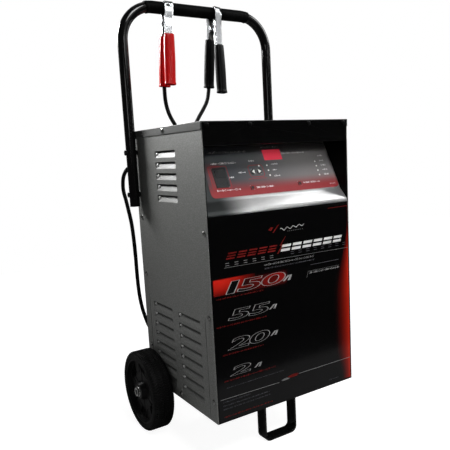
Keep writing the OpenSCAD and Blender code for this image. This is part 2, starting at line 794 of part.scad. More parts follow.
// Dipped sleeve on one handle, pushed down it by `slip`
module clamp_sleeve(c, dir, slip = 0) {
  spread = c[3];
  lean = atan((spread - 14) / (handle_len - 22));
  clamp_frame(c) mirror([0, dir < 0 ? 1 : 0, 0]) difference() {
    translate([0, spread, -handle_len]) rotate([lean, 0, 0]) translate([0, 0, -slip])
      linear_extrude(sleeve_len) rounded_rect(sleeve_size, 6);
    // Pocket for the steel handle
    rotate([90, 0, 90]) linear_extrude(clamp_w + 0.3, center = true) polygon([
      [17.7, 2], [15.7, -18], [spread + 1.7, -handle_len + 5.8], [spread - 1.7, -handle_len + 5.8],
      [9.3, -18], [0, -4]
    ]);
  }
}

module clamp_pin(c) {
  clamp_frame(c) rotate([0, 90, 0]) {
    cylinder(r = pin_r, h = clamp_w + 2, center = true);
    for (s = [-1, 1]) translate([0, 0, s * (clamp_w / 2 + 0.8)]) cylinder(r = 3.4, h = 1.2, center = true);
  }
}

// Coils of the torsion spring round the pin, as a stack of rings
module clamp_spring(c) {
  clamp_frame(c) rotate([0, 90, 0])
    for (i = [-1.5:1:1.5]) translate([0, 0, i * 2.05])
      rotate_extrude() translate([4.6, 0]) circle(r = 1, $fn = 20);
}

module red_clamp_rear_half() { color("silver") clamp_half(red_clamp, 1, rear_half_w); }
module red_clamp_front_half() { color("silver") clamp_half(red_clamp, -1, front_half_w); }
module red_clamp_rear_sleeve() { color("red") clamp_sleeve(red_clamp, 1); }
module red_clamp_front_sleeve() { color("red") clamp_sleeve(red_clamp, -1); }
module red_clamp_pin() { color("silver") clamp_pin(red_clamp); }
module red_clamp_spring() { color("gray") clamp_spring(red_clamp); }
module black_clamp_rear_half() { color("silver") clamp_half(black_clamp, 1, rear_half_w); }
module black_clamp_front_half() { color("silver") clamp_half(black_clamp, -1, front_half_w); }
module black_clamp_rear_sleeve() { color([0.08, 0.08, 0.08]) clamp_sleeve(black_clamp, 1); }
module black_clamp_front_sleeve() { color([0.08, 0.08, 0.08]) clamp_sleeve(black_clamp, -1, 16); }
module black_clamp_pin() { color("silver") clamp_pin(black_clamp); }
module black_clamp_spring() { color("gray") clamp_spring(black_clamp); }

// ---- leads ---------------------------------------------------------------

module red_lead() { color([0.06, 0.06, 0.06]) swept_tube(red_route, lead_d / 2, lead_sides); }
module black_lead() { color([0.06, 0.06, 0.06]) swept_tube(black_route, lead_d / 2, lead_sides); }

// Frame on the rear panel's outer face: local Z points backwards
module on_rear(x, z) {
  cab() translate([x, half_d, z]) rotate([-90, 0, 0]) children();
}

// Tapered relief outside the rear panel, with its collar and inner lock
module strain_relief(x) {
  color([0.07, 0.07, 0.07]) on_rear(x, lead_z) difference() {
    union() {
      cylinder(r1 = 9, r2 = 6.2, h = relief_len);
      cylinder(r = 11, h = 4);
      translate([0, 0, -6]) cylinder(r = relief_neck_r, h = 7);
      translate([0, 0, -6]) cylinder(r = 9.5, h = 6 - sheet);
    }
    translate([0, 0, -10]) cylinder(r = lead_d / 2 + 0.6, h = relief_len + 20);
  }
}

module red_strain_relief() { strain_relief(lead_x); }
module black_strain_relief() { strain_relief(-lead_x); }

module mains_gland() {
  color([0.07, 0.07, 0.07]) on_rear(0, gland_z) difference() {
    union() {
      cylinder(r = 12, h = 4);
      cylinder(r = 10, h = 12);
      translate([0, 0, -8]) cylinder(r = gland_neck_r, h = 9);
      translate([0, 0, -8]) cylinder(r = 11, h = 8 - sheet);
    }
    translate([0, 0, -10]) cylinder(r = 4.5, h = 40);
  }
}

// ---- inside the cabinet --------------------------------------------------

core_size = [150, 60, 125];
core_pos = [-10, 20, 8];
function core_bolt_spots() = [
  for (x = [-1, 1], y = [-1, 1]) [core_pos[0] + x * 64, core_pos[1] + y * 42]
];

// Laminated core with two windows, and the rails it stands on
module transformer_core() {
  color([0.3, 0.25, 0.2]) cab() difference() {
    union() {
      translate(core_pos + [0, 0, core_size[2] / 2]) cube(core_size, center = true);
      for (x = [-1, 1])
        translate([core_pos[0] + x * 64, core_pos[1], 5]) cube([22, 104, 6], center = true);
    }
    for (x = [-1, 1])
      translate(core_pos + [x * 37.5, 0, core_size[2] / 2]) cube([25, 100, 75], center = true);
    for (s = core_bolt_spots()) translate([s[0], s[1], 1]) cylinder(d = 6.6, h = 12);
  }
}

module transformer_windings() {
  color([0.6, 0.3, 0.12]) cab() translate(core_pos + [0, 0, core_size[2] / 2])
    difference() {
      linear_extrude(74, center = true) rounded_rect([99, 108], 10);
      cube([50.6, 60.4, 100], center = true);
    }
}

module transformer_bolts() {
  color([0.6, 0.6, 0.6]) cab() for (s = core_bolt_spots()) translate([s[0], s[1], 0]) pan_bolt(8);
}

module rectifier_heatsink() {
  color([0.75, 0.75, 0.77]) cab() translate([115, -70, 2]) {
    cube([6, 130, 110]);
    for (i = [0:8]) translate([6 - eps, 4 + i * 15, 0]) cube([34, 3, 110]);
  }
}

module rectifier_diodes() {
  color([0.55, 0.5, 0.4]) cab() for (y = [-45, 35], z = [35, 80])
    translate([115, y, z]) rotate([0, -90, 0]) {
      cylinder(r = 12, h = 6, $fn = 6);
      cylinder(r = 9, h = 16);
    }
}

module fan_frame() {
  color([0.08, 0.08, 0.08]) cab()
    translate([0, half_d - sheet, fan_z]) rotate([90, 0, 0]) {
      difference() {
        linear_extrude(fan_t) rounded_rect([fan_size, fan_size], 6);
        translate([0, 0, -1]) cylinder(r = rotor_r + 3, h = fan_t + 2);
      }
      for (a = [45:90:315]) rotate([0, 0, a])
        translate([18, -3, 0]) cube([rotor_r - 13, 6, 3]);
      cylinder(r = 20, h = 3);
      cylinder(r = 2.5, h = 21);
    }
}

module fan_rotor() {
  blades = 7;
  color([0.12, 0.12, 0.12]) cab()
    translate([0, half_d - sheet - 4, fan_z]) rotate([90, 0, 0]) difference() {
      union() {
        cylinder(r = 19, h = 19);
        for (i = [0:blades - 1]) rotate([0, 0, 360 / blades * i])
          translate([17, 0, 9.5]) rotate([35, 0, 0]) translate([0, -11, -1]) cube([rotor_r - 19, 22, 2]);
      }
      translate([0, 0, -1]) cylinder(r = 2.55, h = 18.5);
    }
}

module control_board() {
  color([0.05, 0.3, 0.12]) on_slope([0, 0]) {
    block([-95, -98, -24], [140, -8, -22.4]);
    for (x = [-60, 0, 60, 110]) block([x, -80, -32], [x + 24, -58, -24 + eps]);
    for (x = [-30, 30]) translate([x, -30, -44]) cylinder(r = 9, h = 20 + eps);
    // Spacers up to the panel, and a switch under each button
    for (x = [-90, 135], y = [-93, -13]) translate([x, y, -22.4 - eps]) cylinder(r = 2.5, h = 20.9);
    for (s = concat(arrow_spots, mode_spots))
      block([s[0] - 3, -s[1] - 3, -22.4 - eps], [s[0] + 3, -s[1] + 3, -7.2]);
  }
}

module circuit_breaker() {
  color([0.1, 0.1, 0.1]) cab() {
    block([-20, half_d - sheet - 30, breaker_z - 12], [20, half_d - sheet, breaker_z + 12]);
    block([-12, half_d - sheet - eps, breaker_z - 7], [12, half_d + 1.5, breaker_z + 7]);
  }
}

// Heavy wires from the strain reliefs, and the mains wires from the gland
wire_paths = [
  [
    [lead_x, half_d, lead_z], [lead_x, half_d - 13, lead_z], [lead_x, half_d - 25, lead_z - 2],
    [155, 107, 469], [152, 92, 436], [148, 82, 385], [146, 76, 325], [145, 70, 245],
    [145, 56, 185], [143, 36, 145], [137, 21, 125], [129, 14, 117]
  ],
  [
    [-lead_x, half_d, lead_z], [-lead_x, half_d - 13, lead_z], [-lead_x, half_d - 25, lead_z - 2],
    [-155, 107, 469], [-152, 92, 436], [-146, 82, 385], [-136, 74, 325], [-120, 66, 255],
    [-100, 56, 195], [-82, 40, 157], [-70, 26, 143], [-60, 20, 137]
  ],
  [
    [0, half_d, gland_z], [0, half_d - 13, gland_z], [0, half_d - 25, gland_z + 2], [4, 108, 71],
    [20, 100, 95], [50, 96, 120], [60, 92, 135], [50, 84, 151], [25, 76, 157]
  ]
];

module internal_wiring() {
  color([0.5, 0.08, 0.06]) cab() for (w = wire_paths) swept_tube(w, 3.2, 8);
}

// ---- what is drawn -------------------------------------------------------

left_side_panel();
right_side_panel();
top_cover();
front_panel();
recess_liner();
control_panel();
control_label();
front_label();
display_window();
rocker_bezel();
rocker_switch();
arrow_button_left();
arrow_button_right();
battery_type_button();
display_mode_button();
indicator_lights();
rear_panel();
base_pan();
cabinet_screws();
front_screws();
handle_tube();
handle_grip();
handle_bolts();
foot_strap();
foot_bolts();
axle();
axle_saddles();
saddle_bolts();
left_tyre();
left_rim();
right_tyre();
right_rim();
axle_caps();
red_clamp_rear_half();
red_clamp_front_half();
red_clamp_rear_sleeve();
red_clamp_front_sleeve();
red_clamp_pin();
red_clamp_spring();
black_clamp_rear_half();
black_clamp_front_half();
black_clamp_rear_sleeve();
black_clamp_front_sleeve();
black_clamp_pin();
black_clamp_spring();
red_lead();
black_lead();
red_strain_relief();
black_strain_relief();
mains_gland();
transformer_core();
transformer_windings();
transformer_bolts();
rectifier_heatsink();
rectifier_diodes();
fan_frame();
fan_rotor();
control_board();
circuit_breaker();
internal_wiring();
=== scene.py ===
"""Looks of a wheeled battery charger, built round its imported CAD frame. Lengths in mm unless said."""
import json
import random
from math import asin, atan, atan2, copysign, cos, pi as PI, radians, sin

import bmesh
import bpy
from mathutils import Matrix, Vector


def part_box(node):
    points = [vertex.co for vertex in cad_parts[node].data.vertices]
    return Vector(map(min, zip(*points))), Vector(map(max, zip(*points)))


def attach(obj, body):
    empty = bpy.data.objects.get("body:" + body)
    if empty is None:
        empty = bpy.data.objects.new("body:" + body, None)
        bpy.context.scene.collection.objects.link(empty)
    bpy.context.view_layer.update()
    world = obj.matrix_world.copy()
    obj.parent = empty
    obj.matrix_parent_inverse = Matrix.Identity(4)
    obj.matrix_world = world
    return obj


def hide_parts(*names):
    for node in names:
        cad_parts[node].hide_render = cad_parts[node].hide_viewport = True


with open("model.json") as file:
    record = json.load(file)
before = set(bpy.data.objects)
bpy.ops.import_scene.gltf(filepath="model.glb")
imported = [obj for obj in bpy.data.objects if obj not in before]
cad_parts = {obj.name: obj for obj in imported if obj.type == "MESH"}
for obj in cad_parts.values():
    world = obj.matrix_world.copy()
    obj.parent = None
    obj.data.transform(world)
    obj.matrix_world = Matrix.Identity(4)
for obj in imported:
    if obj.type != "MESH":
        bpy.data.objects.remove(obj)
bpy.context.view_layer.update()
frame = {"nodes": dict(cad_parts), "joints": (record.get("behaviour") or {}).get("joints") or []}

NODES = frame["nodes"]
MM = 0.001

# ---- places, worked out from the frame

SIDE_LOW, SIDE_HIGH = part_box("right_side_panel")
CAB = Vector((0, (SIDE_LOW.y + SIDE_HIGH.y) / 2, SIDE_LOW.z))
HALF_W = SIDE_HIGH.x / MM
HALF_D = (SIDE_HIGH.y - SIDE_LOW.y) / 2 / MM
JOINTS = {j["name"]: j for j in frame["joints"]}
# Folded edge of a side panel, and its louvers: middles in Y, top of the highest, number of rows
FLANGE_W = 26
LOUVER_PITCH = 22
LOUVERS = (((0.5,), 514, 5), ((-57.5, 58), 190.5, 8))
# Control panel: lean from upright, upper edge as (Y, Z), thickness of the printed films
PANEL_LEAN = radians(26.3)
PANEL_TOP = (-81, 517)
LABEL_T = 0.5
# Handle: height of the cross bar, place of the uprights, radius of the bends
BAR_Z = 821
TUBE_Y = 135
TUBE_X = HALF_W + 13
BEND_R = 75
# Wheels: centre, X of the inner face, width, radius of tyre and rim, face of the rim's web
SIDES = {-1: "left", 1: "right"}
WHEEL = Vector(JOINTS["right_wheel_spin"]["pos_m"])
WHEEL_IN_X = HALF_W + 3
WHEEL_W = 48
WHEEL_R = WHEEL.z / MM
RIM_R = 72
WEB_OUT = 36
# Ink: how far it stands over its film, and the fill of a numeral over its outline
INK_LIFT = 0.06
FILL_LIFT = 0.10


def cab(x, y, z):
    """A point given in mm from the cabinet's middle and underside, in the row frame."""
    return CAB + Vector((x, y, z)) * MM


def frame_matrix(x_axis, y_axis, origin):
    """Matrix of a local frame in mm, whose Z is x_axis cross y_axis."""
    x, y = Vector(x_axis).normalized(), Vector(y_axis).normalized()
    z = x.cross(y)
    m = Matrix((x, y, z)).transposed().to_4x4() @ Matrix.Scale(MM, 4)
    m.translation = origin
    return m


FRONT = frame_matrix((1, 0, 0), (0, 0, 1), cab(0, -HALF_D - LABEL_T, 0))
SLOPE_UP = (0, sin(PANEL_LEAN), cos(PANEL_LEAN))
SLOPE = frame_matrix((1, 0, 0), SLOPE_UP, cab(0, *PANEL_TOP))


def wheel_matrix(side):
    """Frame of a wheel: local Z runs outwards from its inner face."""
    origin = Vector((side * WHEEL_IN_X * MM, WHEEL.y, WHEEL.z))
    return frame_matrix((0, side, 0), (0, 0, 1), origin)


# ---- camera

CAMERA_PLACE = Vector((-0.6584, -1.0122, 0.5962))
CAMERA_TURN = radians(32.42)
CAMERA_DOWN = radians(8.56)
CAMERA_ROLL = radians(-3.00)
CAMERA_LENS = 44.10
CAMERA_SHIFT = (-0.0122, 0.0280)


def add_object(name, data):
    obj = bpy.data.objects.new(name, data)
    bpy.context.scene.collection.objects.link(obj)
    return obj


def make_camera():
    data = bpy.data.cameras.new("camera")
    data.sensor_width = 36
    data.lens = CAMERA_LENS
    data.shift_x, data.shift_y = CAMERA_SHIFT
    data.clip_start = 0.05
    cam = add_object("camera", data)
    level = cos(CAMERA_DOWN)
    ahead = Vector((sin(CAMERA_TURN) * level, cos(CAMERA_TURN) * level, -sin(CAMERA_DOWN)))
    right = Vector((cos(CAMERA_TURN), -sin(CAMERA_TURN), 0))
    up = right.cross(ahead)
    rolled_right = right * cos(CAMERA_ROLL) + up * sin(CAMERA_ROLL)
    rolled_up = up * cos(CAMERA_ROLL) - right * sin(CAMERA_ROLL)
    turn = Matrix((rolled_right, rolled_up, -ahead)).transposed()
    cam.matrix_world = Matrix.Translation(CAMERA_PLACE) @ turn.to_4x4()
    bpy.context.scene.camera = cam


make_camera()

# ---- materials


MATERIALS = {}


class Nodes:
    """Short way to write the node graph of a new material, or of a world."""

    def __init__(self, name, world=None):
        owner = world or bpy.data.materials.new(name)
        owner.use_nodes = True
        self.tree = owner.node_tree
        kind = "BACKGROUND" if world else "BSDF_PRINCIPLED"
        self.shader = next(n for n in self.tree.nodes if n.type == kind)
        MATERIALS[name] = owner

    def fill(self, node, settings):
        """Set a node's attributes and feed its sockets; _ stands for a space in a socket's name."""
        for key, value in settings.items():
            if hasattr(node, key):
                setattr(node, key, value)
            else:
                self.put(node.inputs[key.replace("_", " ")], value)
        return node

    def add(self, kind, **settings):
        return self.fill(self.tree.nodes.new("ShaderNode" + kind), settings)

    def set(self, **settings):
        self.fill(self.shader, settings)

    def put(self, socket, value):
        """Feed a socket from another socket, or with a value; colours are given as R, G, B."""
        if isinstance(value, bpy.types.NodeSocket):
            self.tree.links.new(value, socket)
        else:
            socket.default_value = (*value, 1.0) if socket.type == "RGBA" else value

    def math(self, operation, a, b=0.0, clamp=False):
        node = self.add("Math", operation=operation, use_clamp=clamp)
        self.put(node.inputs[0], a)
        self.put(node.inputs[1], b)
        return node.outputs[0]

    def times(self, a, b):
        return self.math("MULTIPLY", a, b)

    def plus(self, a, b):
        return self.math("ADD", a, b)

    def minus(self, a, b):
        return self.math("SUBTRACT", a, b)

    def mix(self, factor, a, b):
        node = self.add("Mix", data_type="RGBA")
        self.put(node.inputs[0], factor)
        self.put(node.inputs[6], a)
        self.put(node.inputs[7], b)
        return node.outputs[2]

    def here(self):
        """The point's place in the row frame, in metres."""
        return self.add("TexCoord").outputs["Object"]

    def place(self):
        """The same as separate X, Y and Z."""
        return self.add("SeparateXYZ", Vector=self.here()).outputs

    def cab_place(self):
        """The point's place in mm from the cabinet's middle and underside."""
        return [self.times(self.minus(at, zero), 1 / MM) for at, zero in zip(self.place(), CAB)]

    def noise(self, scale, detail=2.0, roughness=0.5, stretch=None):
        coords = self.here()
        if stretch:
            coords = self.add("Mapping", Vector=coords, Scale=stretch).outputs[0]
        node = self.add("TexNoise", Vector=coords, Scale=scale, Detail=detail, Roughness=roughness)
        return node.outputs[0]

    def cells(self, scale):
        node = self.add("TexVoronoi", feature="SMOOTH_F1", Vector=self.here(), Scale=scale, Smoothness=0.6)
        return node.outputs["Distance"]

    def ramp(self, value, low, high):
        """0 at low, 1 at high, with a smooth step between."""
        node = self.add("MapRange", interpolation_type="SMOOTHSTEP", Value=value, From_Min=low, From_Max=high)
        return node.outputs[0]

    def strength(self, shown, hidden):
        """One value where the camera looks straight at it, another for bounced light."""
        mix = self.add("Mix")
        self.put(mix.inputs[0], self.add("LightPath").outputs["Is Camera Ray"])
        self.put(mix.inputs[2], hidden)
        self.put(mix.inputs[3], shown)
        return mix.outputs[0]

    def bump(self, height, distance, strength=1.0, rounded_by=0.0):
        """Bump, on normals that are rounded off near edges when rounded_by (in metres) is given."""
        node = self.add("Bump", Height=height, Distance=distance, Strength=strength)
        if rounded_by:
            bevel = self.add("Bevel", samples=4, Radius=rounded_by)
            self.put(node.inputs["Normal"], bevel.outputs[0])
        self.set(Normal=node.outputs[0])

    def edges(self, radius):
        """About 1 along sharp edges, 0 on flats: where a rounded normal leaves the true one."""
        bevel = self.add("Bevel", samples=3, Radius=radius)
        node = self.add("VectorMath", operation="DOT_PRODUCT")
        self.put(node.inputs[0], bevel.outputs[0])
        self.put(node.inputs[1], self.add("NewGeometry").outputs["Normal"])
        return self.ramp(node.outputs["Value"], 0.995, 0.85)


def dimmed(colour, share):
    return tuple(c * share for c in colour)


def box_mask(n, along, up, low, high, soft):
    """1 inside a rectangle of two coordinates in mm, with soft edges."""
    inside = 1.0
    for axis, a, b in ((along, low[0], high[0]), (up, low[1], high[1])):
        inside = n.times(inside, n.ramp(axis, a - soft, a + soft))
        inside = n.times(inside, n.ramp(axis, b + soft, b - soft))
    return inside


def hammertone():
    """Grey hammered paint, with painted shadow and painted highlight along the creases beside the folded
    edges, painted shade on the top cover's turned-down edge, and painted shade on the louvers.
    """
    n = Nodes("grey_hammertone")
    cells = n.cells(420)
    fine = n.noise(900, 3)
    blotch = n.noise(14, 2)
    _, along, up = n.cab_place()
    tone = n.mix(n.ramp(cells, 0.1, 0.62), (0.30, 0.305, 0.295), (0.19, 0.195, 0.188))
    tone = n.mix(n.times(blotch, 0.35), tone, (0.21, 0.21, 0.195))
    tone = n.mix(n.times(n.edges(0.0008), 0.45), tone, (0.52, 0.53, 0.51))
    # Painted shadow in the crease beside each folded edge, and a painted highlight on the bend next to it
    for crease, glint in ((FLANGE_W - HALF_D, 0.9), (HALF_D - FLANGE_W, -0.9)):
        dark = box_mask(n, along, up, (crease - 1.3, 5), (crease + 1.3, 202), 0.5)
        crease_highlight = box_mask(n, along, up, (crease - 3.4 + glint, 5), (crease - 1.0 + glint, 202), 0.5)
        tone = n.mix(n.times(crease_highlight, 0.35), tone, (0.60, 0.61, 0.59))
        tone = n.mix(n.times(dark, 0.80), tone, (0.02, 0.02, 0.02))
    # The top cover's turned-down edge: painted shade, a little deeper than the panels, most at the front
    edge = (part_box("top_cover")[0].z - CAB.z) / MM
    depth = n.times(n.ramp(up, edge - 0.4, edge + 0.4), n.ramp(along, 420, -200))
    tone = n.mix(depth, tone, (0.03, 0.032, 0.03))
    # Louver hoods: painted shade on their upward slope, deeper on the upper group, and a painted dark band of
    # shade along the slot at the top of each
    lean = n.add("NewGeometry").outputs["Normal"]
    lean = n.add("SeparateXYZ", Vector=lean).outputs[2]
    slope = n.times(n.ramp(lean, 0.10, 0.45), n.ramp(lean, 0.97, 0.85))
    shade = n.plus(n.times(n.ramp(up, 420, 470), 0.50), 0.32)
    tone = n.mix(n.times(slope, shade), tone, (0.02, 0.02, 0.02))
    for middles, top, rows in LOUVERS:
        row = n.math("MODULO", n.minus(up, top + 0.5 - LOUVER_PITCH * (rows + 1)), LOUVER_PITCH)
        slot = n.ramp(row, 18.6, 19.6)
        foot = top - LOUVER_PITCH * (rows - 1) - 5
        for middle in middles:
            group = box_mask(n, along, up, (middle - 42, foot), (middle + 36, top + 1), 0.7)
            tone = n.mix(n.times(n.times(group, slot), 0.93), tone, (0.004, 0.004, 0.004))
    n.set(Base_Color=tone, Metallic=0.35, Roughness=n.ramp(fine, -0.6, 1.6), Coat_Weight=0.25)
    n.set(Coat_Roughness=0.25)
    n.bump(n.plus(n.times(cells, 0.8), n.times(fine, 0.25)), 0.0004, 0.55)


def gloss_black(name, tone, rough, specular):
    """Black enamel, faintly wavy and dusty, worn along its edges."""
    n = Nodes(name)
    wave = n.noise(260, 2)
    dust = n.noise(35, 4)
    wear = n.times(n.edges(0.0006), 0.06)
    colour = n.mix(wear, (tone, tone, tone * 1.05), (0.25, 0.25, 0.25))
    rough = n.plus(n.times(dust, 0.08), rough - 0.04)
    n.set(Base_Color=colour, Roughness=rough, Specular_IOR_Level=specular)
    n.bump(wave, 0.0002, 0.10)


def moulded(name, colour, rough, grain=1400, depth=0.00024, specular=0.5):
    """Moulded plastic with a fine grain; depth in metres."""
    n = Nodes(name)
    grain_noise = n.noise(grain, 3, 0.6)
    cloud = n.noise(40, 3)
    n.set(Base_Color=n.mix(cloud, dimmed(colour, 0.72), colour), Specular_IOR_Level=specular)
    n.set(Roughness=n.plus(n.times(grain_noise, 0.16), rough - 0.08))
    n.bump(grain_noise, depth, 0.7)


def metal(name, colour, rough, brushed=None, tarnish=0.1, rounded_by=0.0):
    """Bare or plated metal; rounded_by also adds painted shade, deepening the tone where a face turns away
    from the camera.
    """
    n = Nodes(name)
    streak = n.noise(120, 3, 0.6, brushed) if brushed else n.noise(90, 4)
    cloud = n.noise(30, 3)
    tone = n.mix(n.times(cloud, tarnish * 2), colour, dimmed(colour, 0.6))
    if rounded_by:
        # Painted shade: darker where the face turns away from the camera
        away = n.ramp(n.add("LayerWeight").outputs["Facing"], 0.22, 0.46)
        tone = n.mix(n.times(away, 0.90), tone, (0.05, 0.055, 0.06))
    n.set(Base_Color=tone, Metallic=1.0, Roughness=n.plus(n.times(streak, rough * 0.9), rough * 0.5))
    n.bump(streak, 0.00008, 0.25, rounded_by)


def plain_ink(name, colour, rough=0.4, glow=0.0):
    """One flat printed colour; glow adds a painted glow as emission."""
    n = Nodes(name)
    fleck = n.noise(600, 2)
    n.set(Base_Color=n.mix(n.times(fleck, 0.25), colour, dimmed(colour, 0.6)))
    n.set(Roughness=rough, Specular_IOR_Level=0.2)
    if glow:
        n.set(Emission_Color=colour, Emission_Strength=glow)


def front_print():
    """Black print with a red glow down its right edge, a red bar, and a painted reflection that pales its
    foot.
    """
    n = Nodes("front_print")
    along, _, up = n.cab_place()
    # Painted reflection: the black pales towards the foot
    black = n.mix(n.ramp(up, 150, 0), (0.0010, 0.0010, 0.0011), (0.0055, 0.0055, 0.0060))
    # The glow's inner edge swings out to the right at the top, and a little at the foot
    swing = n.times(n.ramp(up, 190, 360), 43)
    foot = n.times(n.ramp(up, 75, 15), 16)
    inner = n.plus(n.plus(swing, foot), 124)
    wide = n.math("MAXIMUM", n.minus(171, inner), 4)
    reach = n.math("DIVIDE", n.minus(along, inner), wide, clamp=True)
    hot = n.mix(reach, (0.22, 0.003, 0.001), (0.78, 0.030, 0.010))
    tone = n.mix(n.math("POWER", reach, 2.1), black, hot)
    # Red bar behind the first number, fading to the right and downwards
    bar = box_mask(n, along, up, (-167, 246), (-74, 276), 1.2)
    fade = n.times(n.ramp(along, -62, -158), n.ramp(up, 236, 272))
    tone = n.mix(n.times(bar, fade), tone, (0.70, 0.020, 0.010))
    number_glow = box_mask(n, along, up, (-90, 246), (0, 268), 6)
    tone = n.mix(n.times(number_glow, 0.22), tone, (0.40, 0.008, 0.005))
    scuff = n.noise(60, 5, 0.6)
    n.set(Base_Color=tone, Specular_IOR_Level=0.22, Roughness=n.ramp(scuff, -0.9, 5.6))
    n.bump(n.noise(1500, 2), 0.00008, 0.06)


def number_fill():
    """Near black, warming to red at the right of the top number."""
    n = Nodes("number_fill")
    along, _, up = n.cab_place()
    warm = n.times(n.ramp(along, -112, -20), n.ramp(up, 225, 262))
    n.set(Base_Color=n.mix(warm, (0.002, 0.002, 0.002), (0.26, 0.008, 0.006)), Roughness=0.2)
    n.set(Specular_IOR_Level=0.25)
    n.bump(n.noise(900, 2), 0.0001, 0.1)


def panel_print():
    """Dark grey print that turns red at its foot and round the switch, with a painted reflection that
    lightens it towards the right and painted light that lifts it near the top.
    """
    n = Nodes("panel_print")
    along, _, up = n.cab_place()
    down = n.times(n.minus(PANEL_TOP[1], up), 1 / cos(PANEL_LEAN))
    # Painted reflection: lighter towards the right
    painted_sheen = n.ramp(along, -120, 120)
    grey = n.mix(painted_sheen, (0.055, 0.062, 0.070), (0.200, 0.190, 0.190))
    # Painted light: paler near the top edge, where the recess's hood shades it
    paler = n.mix(painted_sheen, (0.13, 0.14, 0.15), (0.26, 0.25, 0.25))
    grey = n.mix(n.ramp(down, 55, 8), grey, paler)
    red = n.mix(n.ramp(down, 84, 100), (0.26, 0.030, 0.034), (0.30, 0.036, 0.040))
    tone = n.mix(n.ramp(down, 70, 97), grey, red)
    round_switch = box_mask(n, along, down, (-139, 40), (-112, 104), 9)
    tone = n.mix(n.times(round_switch, 0.55), tone, (0.33, 0.030, 0.030))
    fleck = n.noise(1600, 2)
    n.set(Base_Color=tone, Roughness=n.ramp(fleck, -0.5, 1.9), Specular_IOR_Level=0.3)
    n.bump(fleck, 0.00012, 0.25)


def display_glass():
    """Red display with faint rows, lighter towards its foot, with a painted glow as emission."""
    n = Nodes("display_glass")
    rows = n.add("TexWave", Vector=n.here(), Scale=900).outputs[1]
    low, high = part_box("display_window")
    lift = n.ramp(n.place()[2], low.z, high.z)
    tone = n.mix(lift, (0.62, 0.045, 0.075), (0.50, 0.030, 0.050))
    n.set(Base_Color=tone, Roughness=0.18, Coat_Weight=0.6, Coat_Roughness=0.05)
    # Painted glow: emission brightens the red window
    n.set(Emission_Color=tone, Emission_Strength=n.plus(n.times(rows, 0.10), 0.55))


def satin_panel():
    """Silver-painted steel: fine brushing along X, flecks, and a painted dark reflection over its left end.
    """
    n = Nodes("silver_panel")
    streak = n.noise(240, 4, 0.6, (0.25, 1.0, 1.0))
    fleck = n.noise(1100, 2)
    tone = n.mix(streak, (0.66, 0.665, 0.67), (0.80, 0.80, 0.795))
    # Painted reflection: the left end darkened
    shade = n.ramp(n.cab_place()[0], -62, -138)
    tone = n.mix(n.times(shade, 0.95), tone, (0.02, 0.025, 0.025))
    n.set(Base_Color=tone, Metallic=0.92, Roughness=n.plus(n.times(fleck, 0.12), 0.27))
    n.bump(fleck, 0.00005, 0.3)


def rubber(name, colour, rough, scale, specular):
    """Coarse dull rubber, greyed by dust in places."""
    n = Nodes(name)
    coarse = n.noise(scale, 4, 0.65)
    dust = n.noise(25, 4, 0.6)
    grey = tuple(c * 2.0 + 0.002 for c in colour)
    n.set(Base_Color=n.mix(n.ramp(dust, 0.45, 0.85), colour, grey), Specular_IOR_Level=specular)
    n.set(Roughness=n.plus(n.times(coarse, 0.2), rough - 0.1))
    n.bump(coarse, 0.0003, 0.4)


def vinyl(name, colour, rough, specular):
    """Dipped vinyl with soft waves and pores."""
    n = Nodes(name)
    cloud = n.noise(45, 3)
    pores = n.noise(900, 2)
    n.set(Base_Color=n.mix(cloud, colour, dimmed(colour, 0.7)), Roughness=n.ramp(pores, -rough, 2.2))
    n.set(Specular_IOR_Level=specular)
    n.bump(n.plus(n.times(cloud, 1.5), pores), 0.00025, 0.35)


hammertone()
gloss_black("black_enamel", 0.003, 0.12, 0.35)
gloss_black("cabinet_black", 0.0012, 0.14, 0.22)
gloss_black("liner_black", 0.0010, 0.4, 0.05)
satin_panel()
front_print()
panel_print()
display_glass()
moulded("switch_plastic", (0.012, 0.014, 0.015), 0.3)
moulded("button_plastic", (0.012, 0.010, 0.010), 0.35)
moulded("black_plastic", (0.016, 0.016, 0.017), 0.5)
moulded("rim_plastic", (0.0035, 0.0035, 0.0038), 0.42, 700, 0.0004, 0.22)
# White lenses and arrow marks with a painted glow
plain_ink("white_painted_glow", (0.85, 0.86, 0.82), 0.25, 0.25)
metal("zinc_screw", (0.42, 0.42, 0.41), 0.22)
metal("axle_steel", (0.55, 0.55, 0.54), 0.25, (1.0, 0.02, 0.02))
metal("chrome_plate", (0.82, 0.84, 0.86), 0.12, rounded_by=0.0055)
metal("cap_plate", (0.84, 0.84, 0.83), 0.14)
# Same plating as the front halves, darkened as painted shade for the inside of the rear halves
metal("shaded_chrome", (0.30, 0.31, 0.32), 0.22)
metal("tinned_braid", (0.16, 0.155, 0.15), 0.35)
metal("nickel_plate", (0.42, 0.42, 0.41), 0.18)
rubber("tyre_rubber", (0.0034, 0.0034, 0.0036), 0.60, 500, 0.20)
rubber("grip_rubber", (0.0015, 0.0015, 0.0017), 0.55, 900, 0.04)
rubber("lead_jacket", (0.0020, 0.0020, 0.0022), 0.45, 700, 0.15)
vinyl("red_vinyl", (0.60, 0.006, 0.006), 0.34, 0.12)
vinyl("black_vinyl", (0.002, 0.002, 0.0023), 0.5, 0.06)
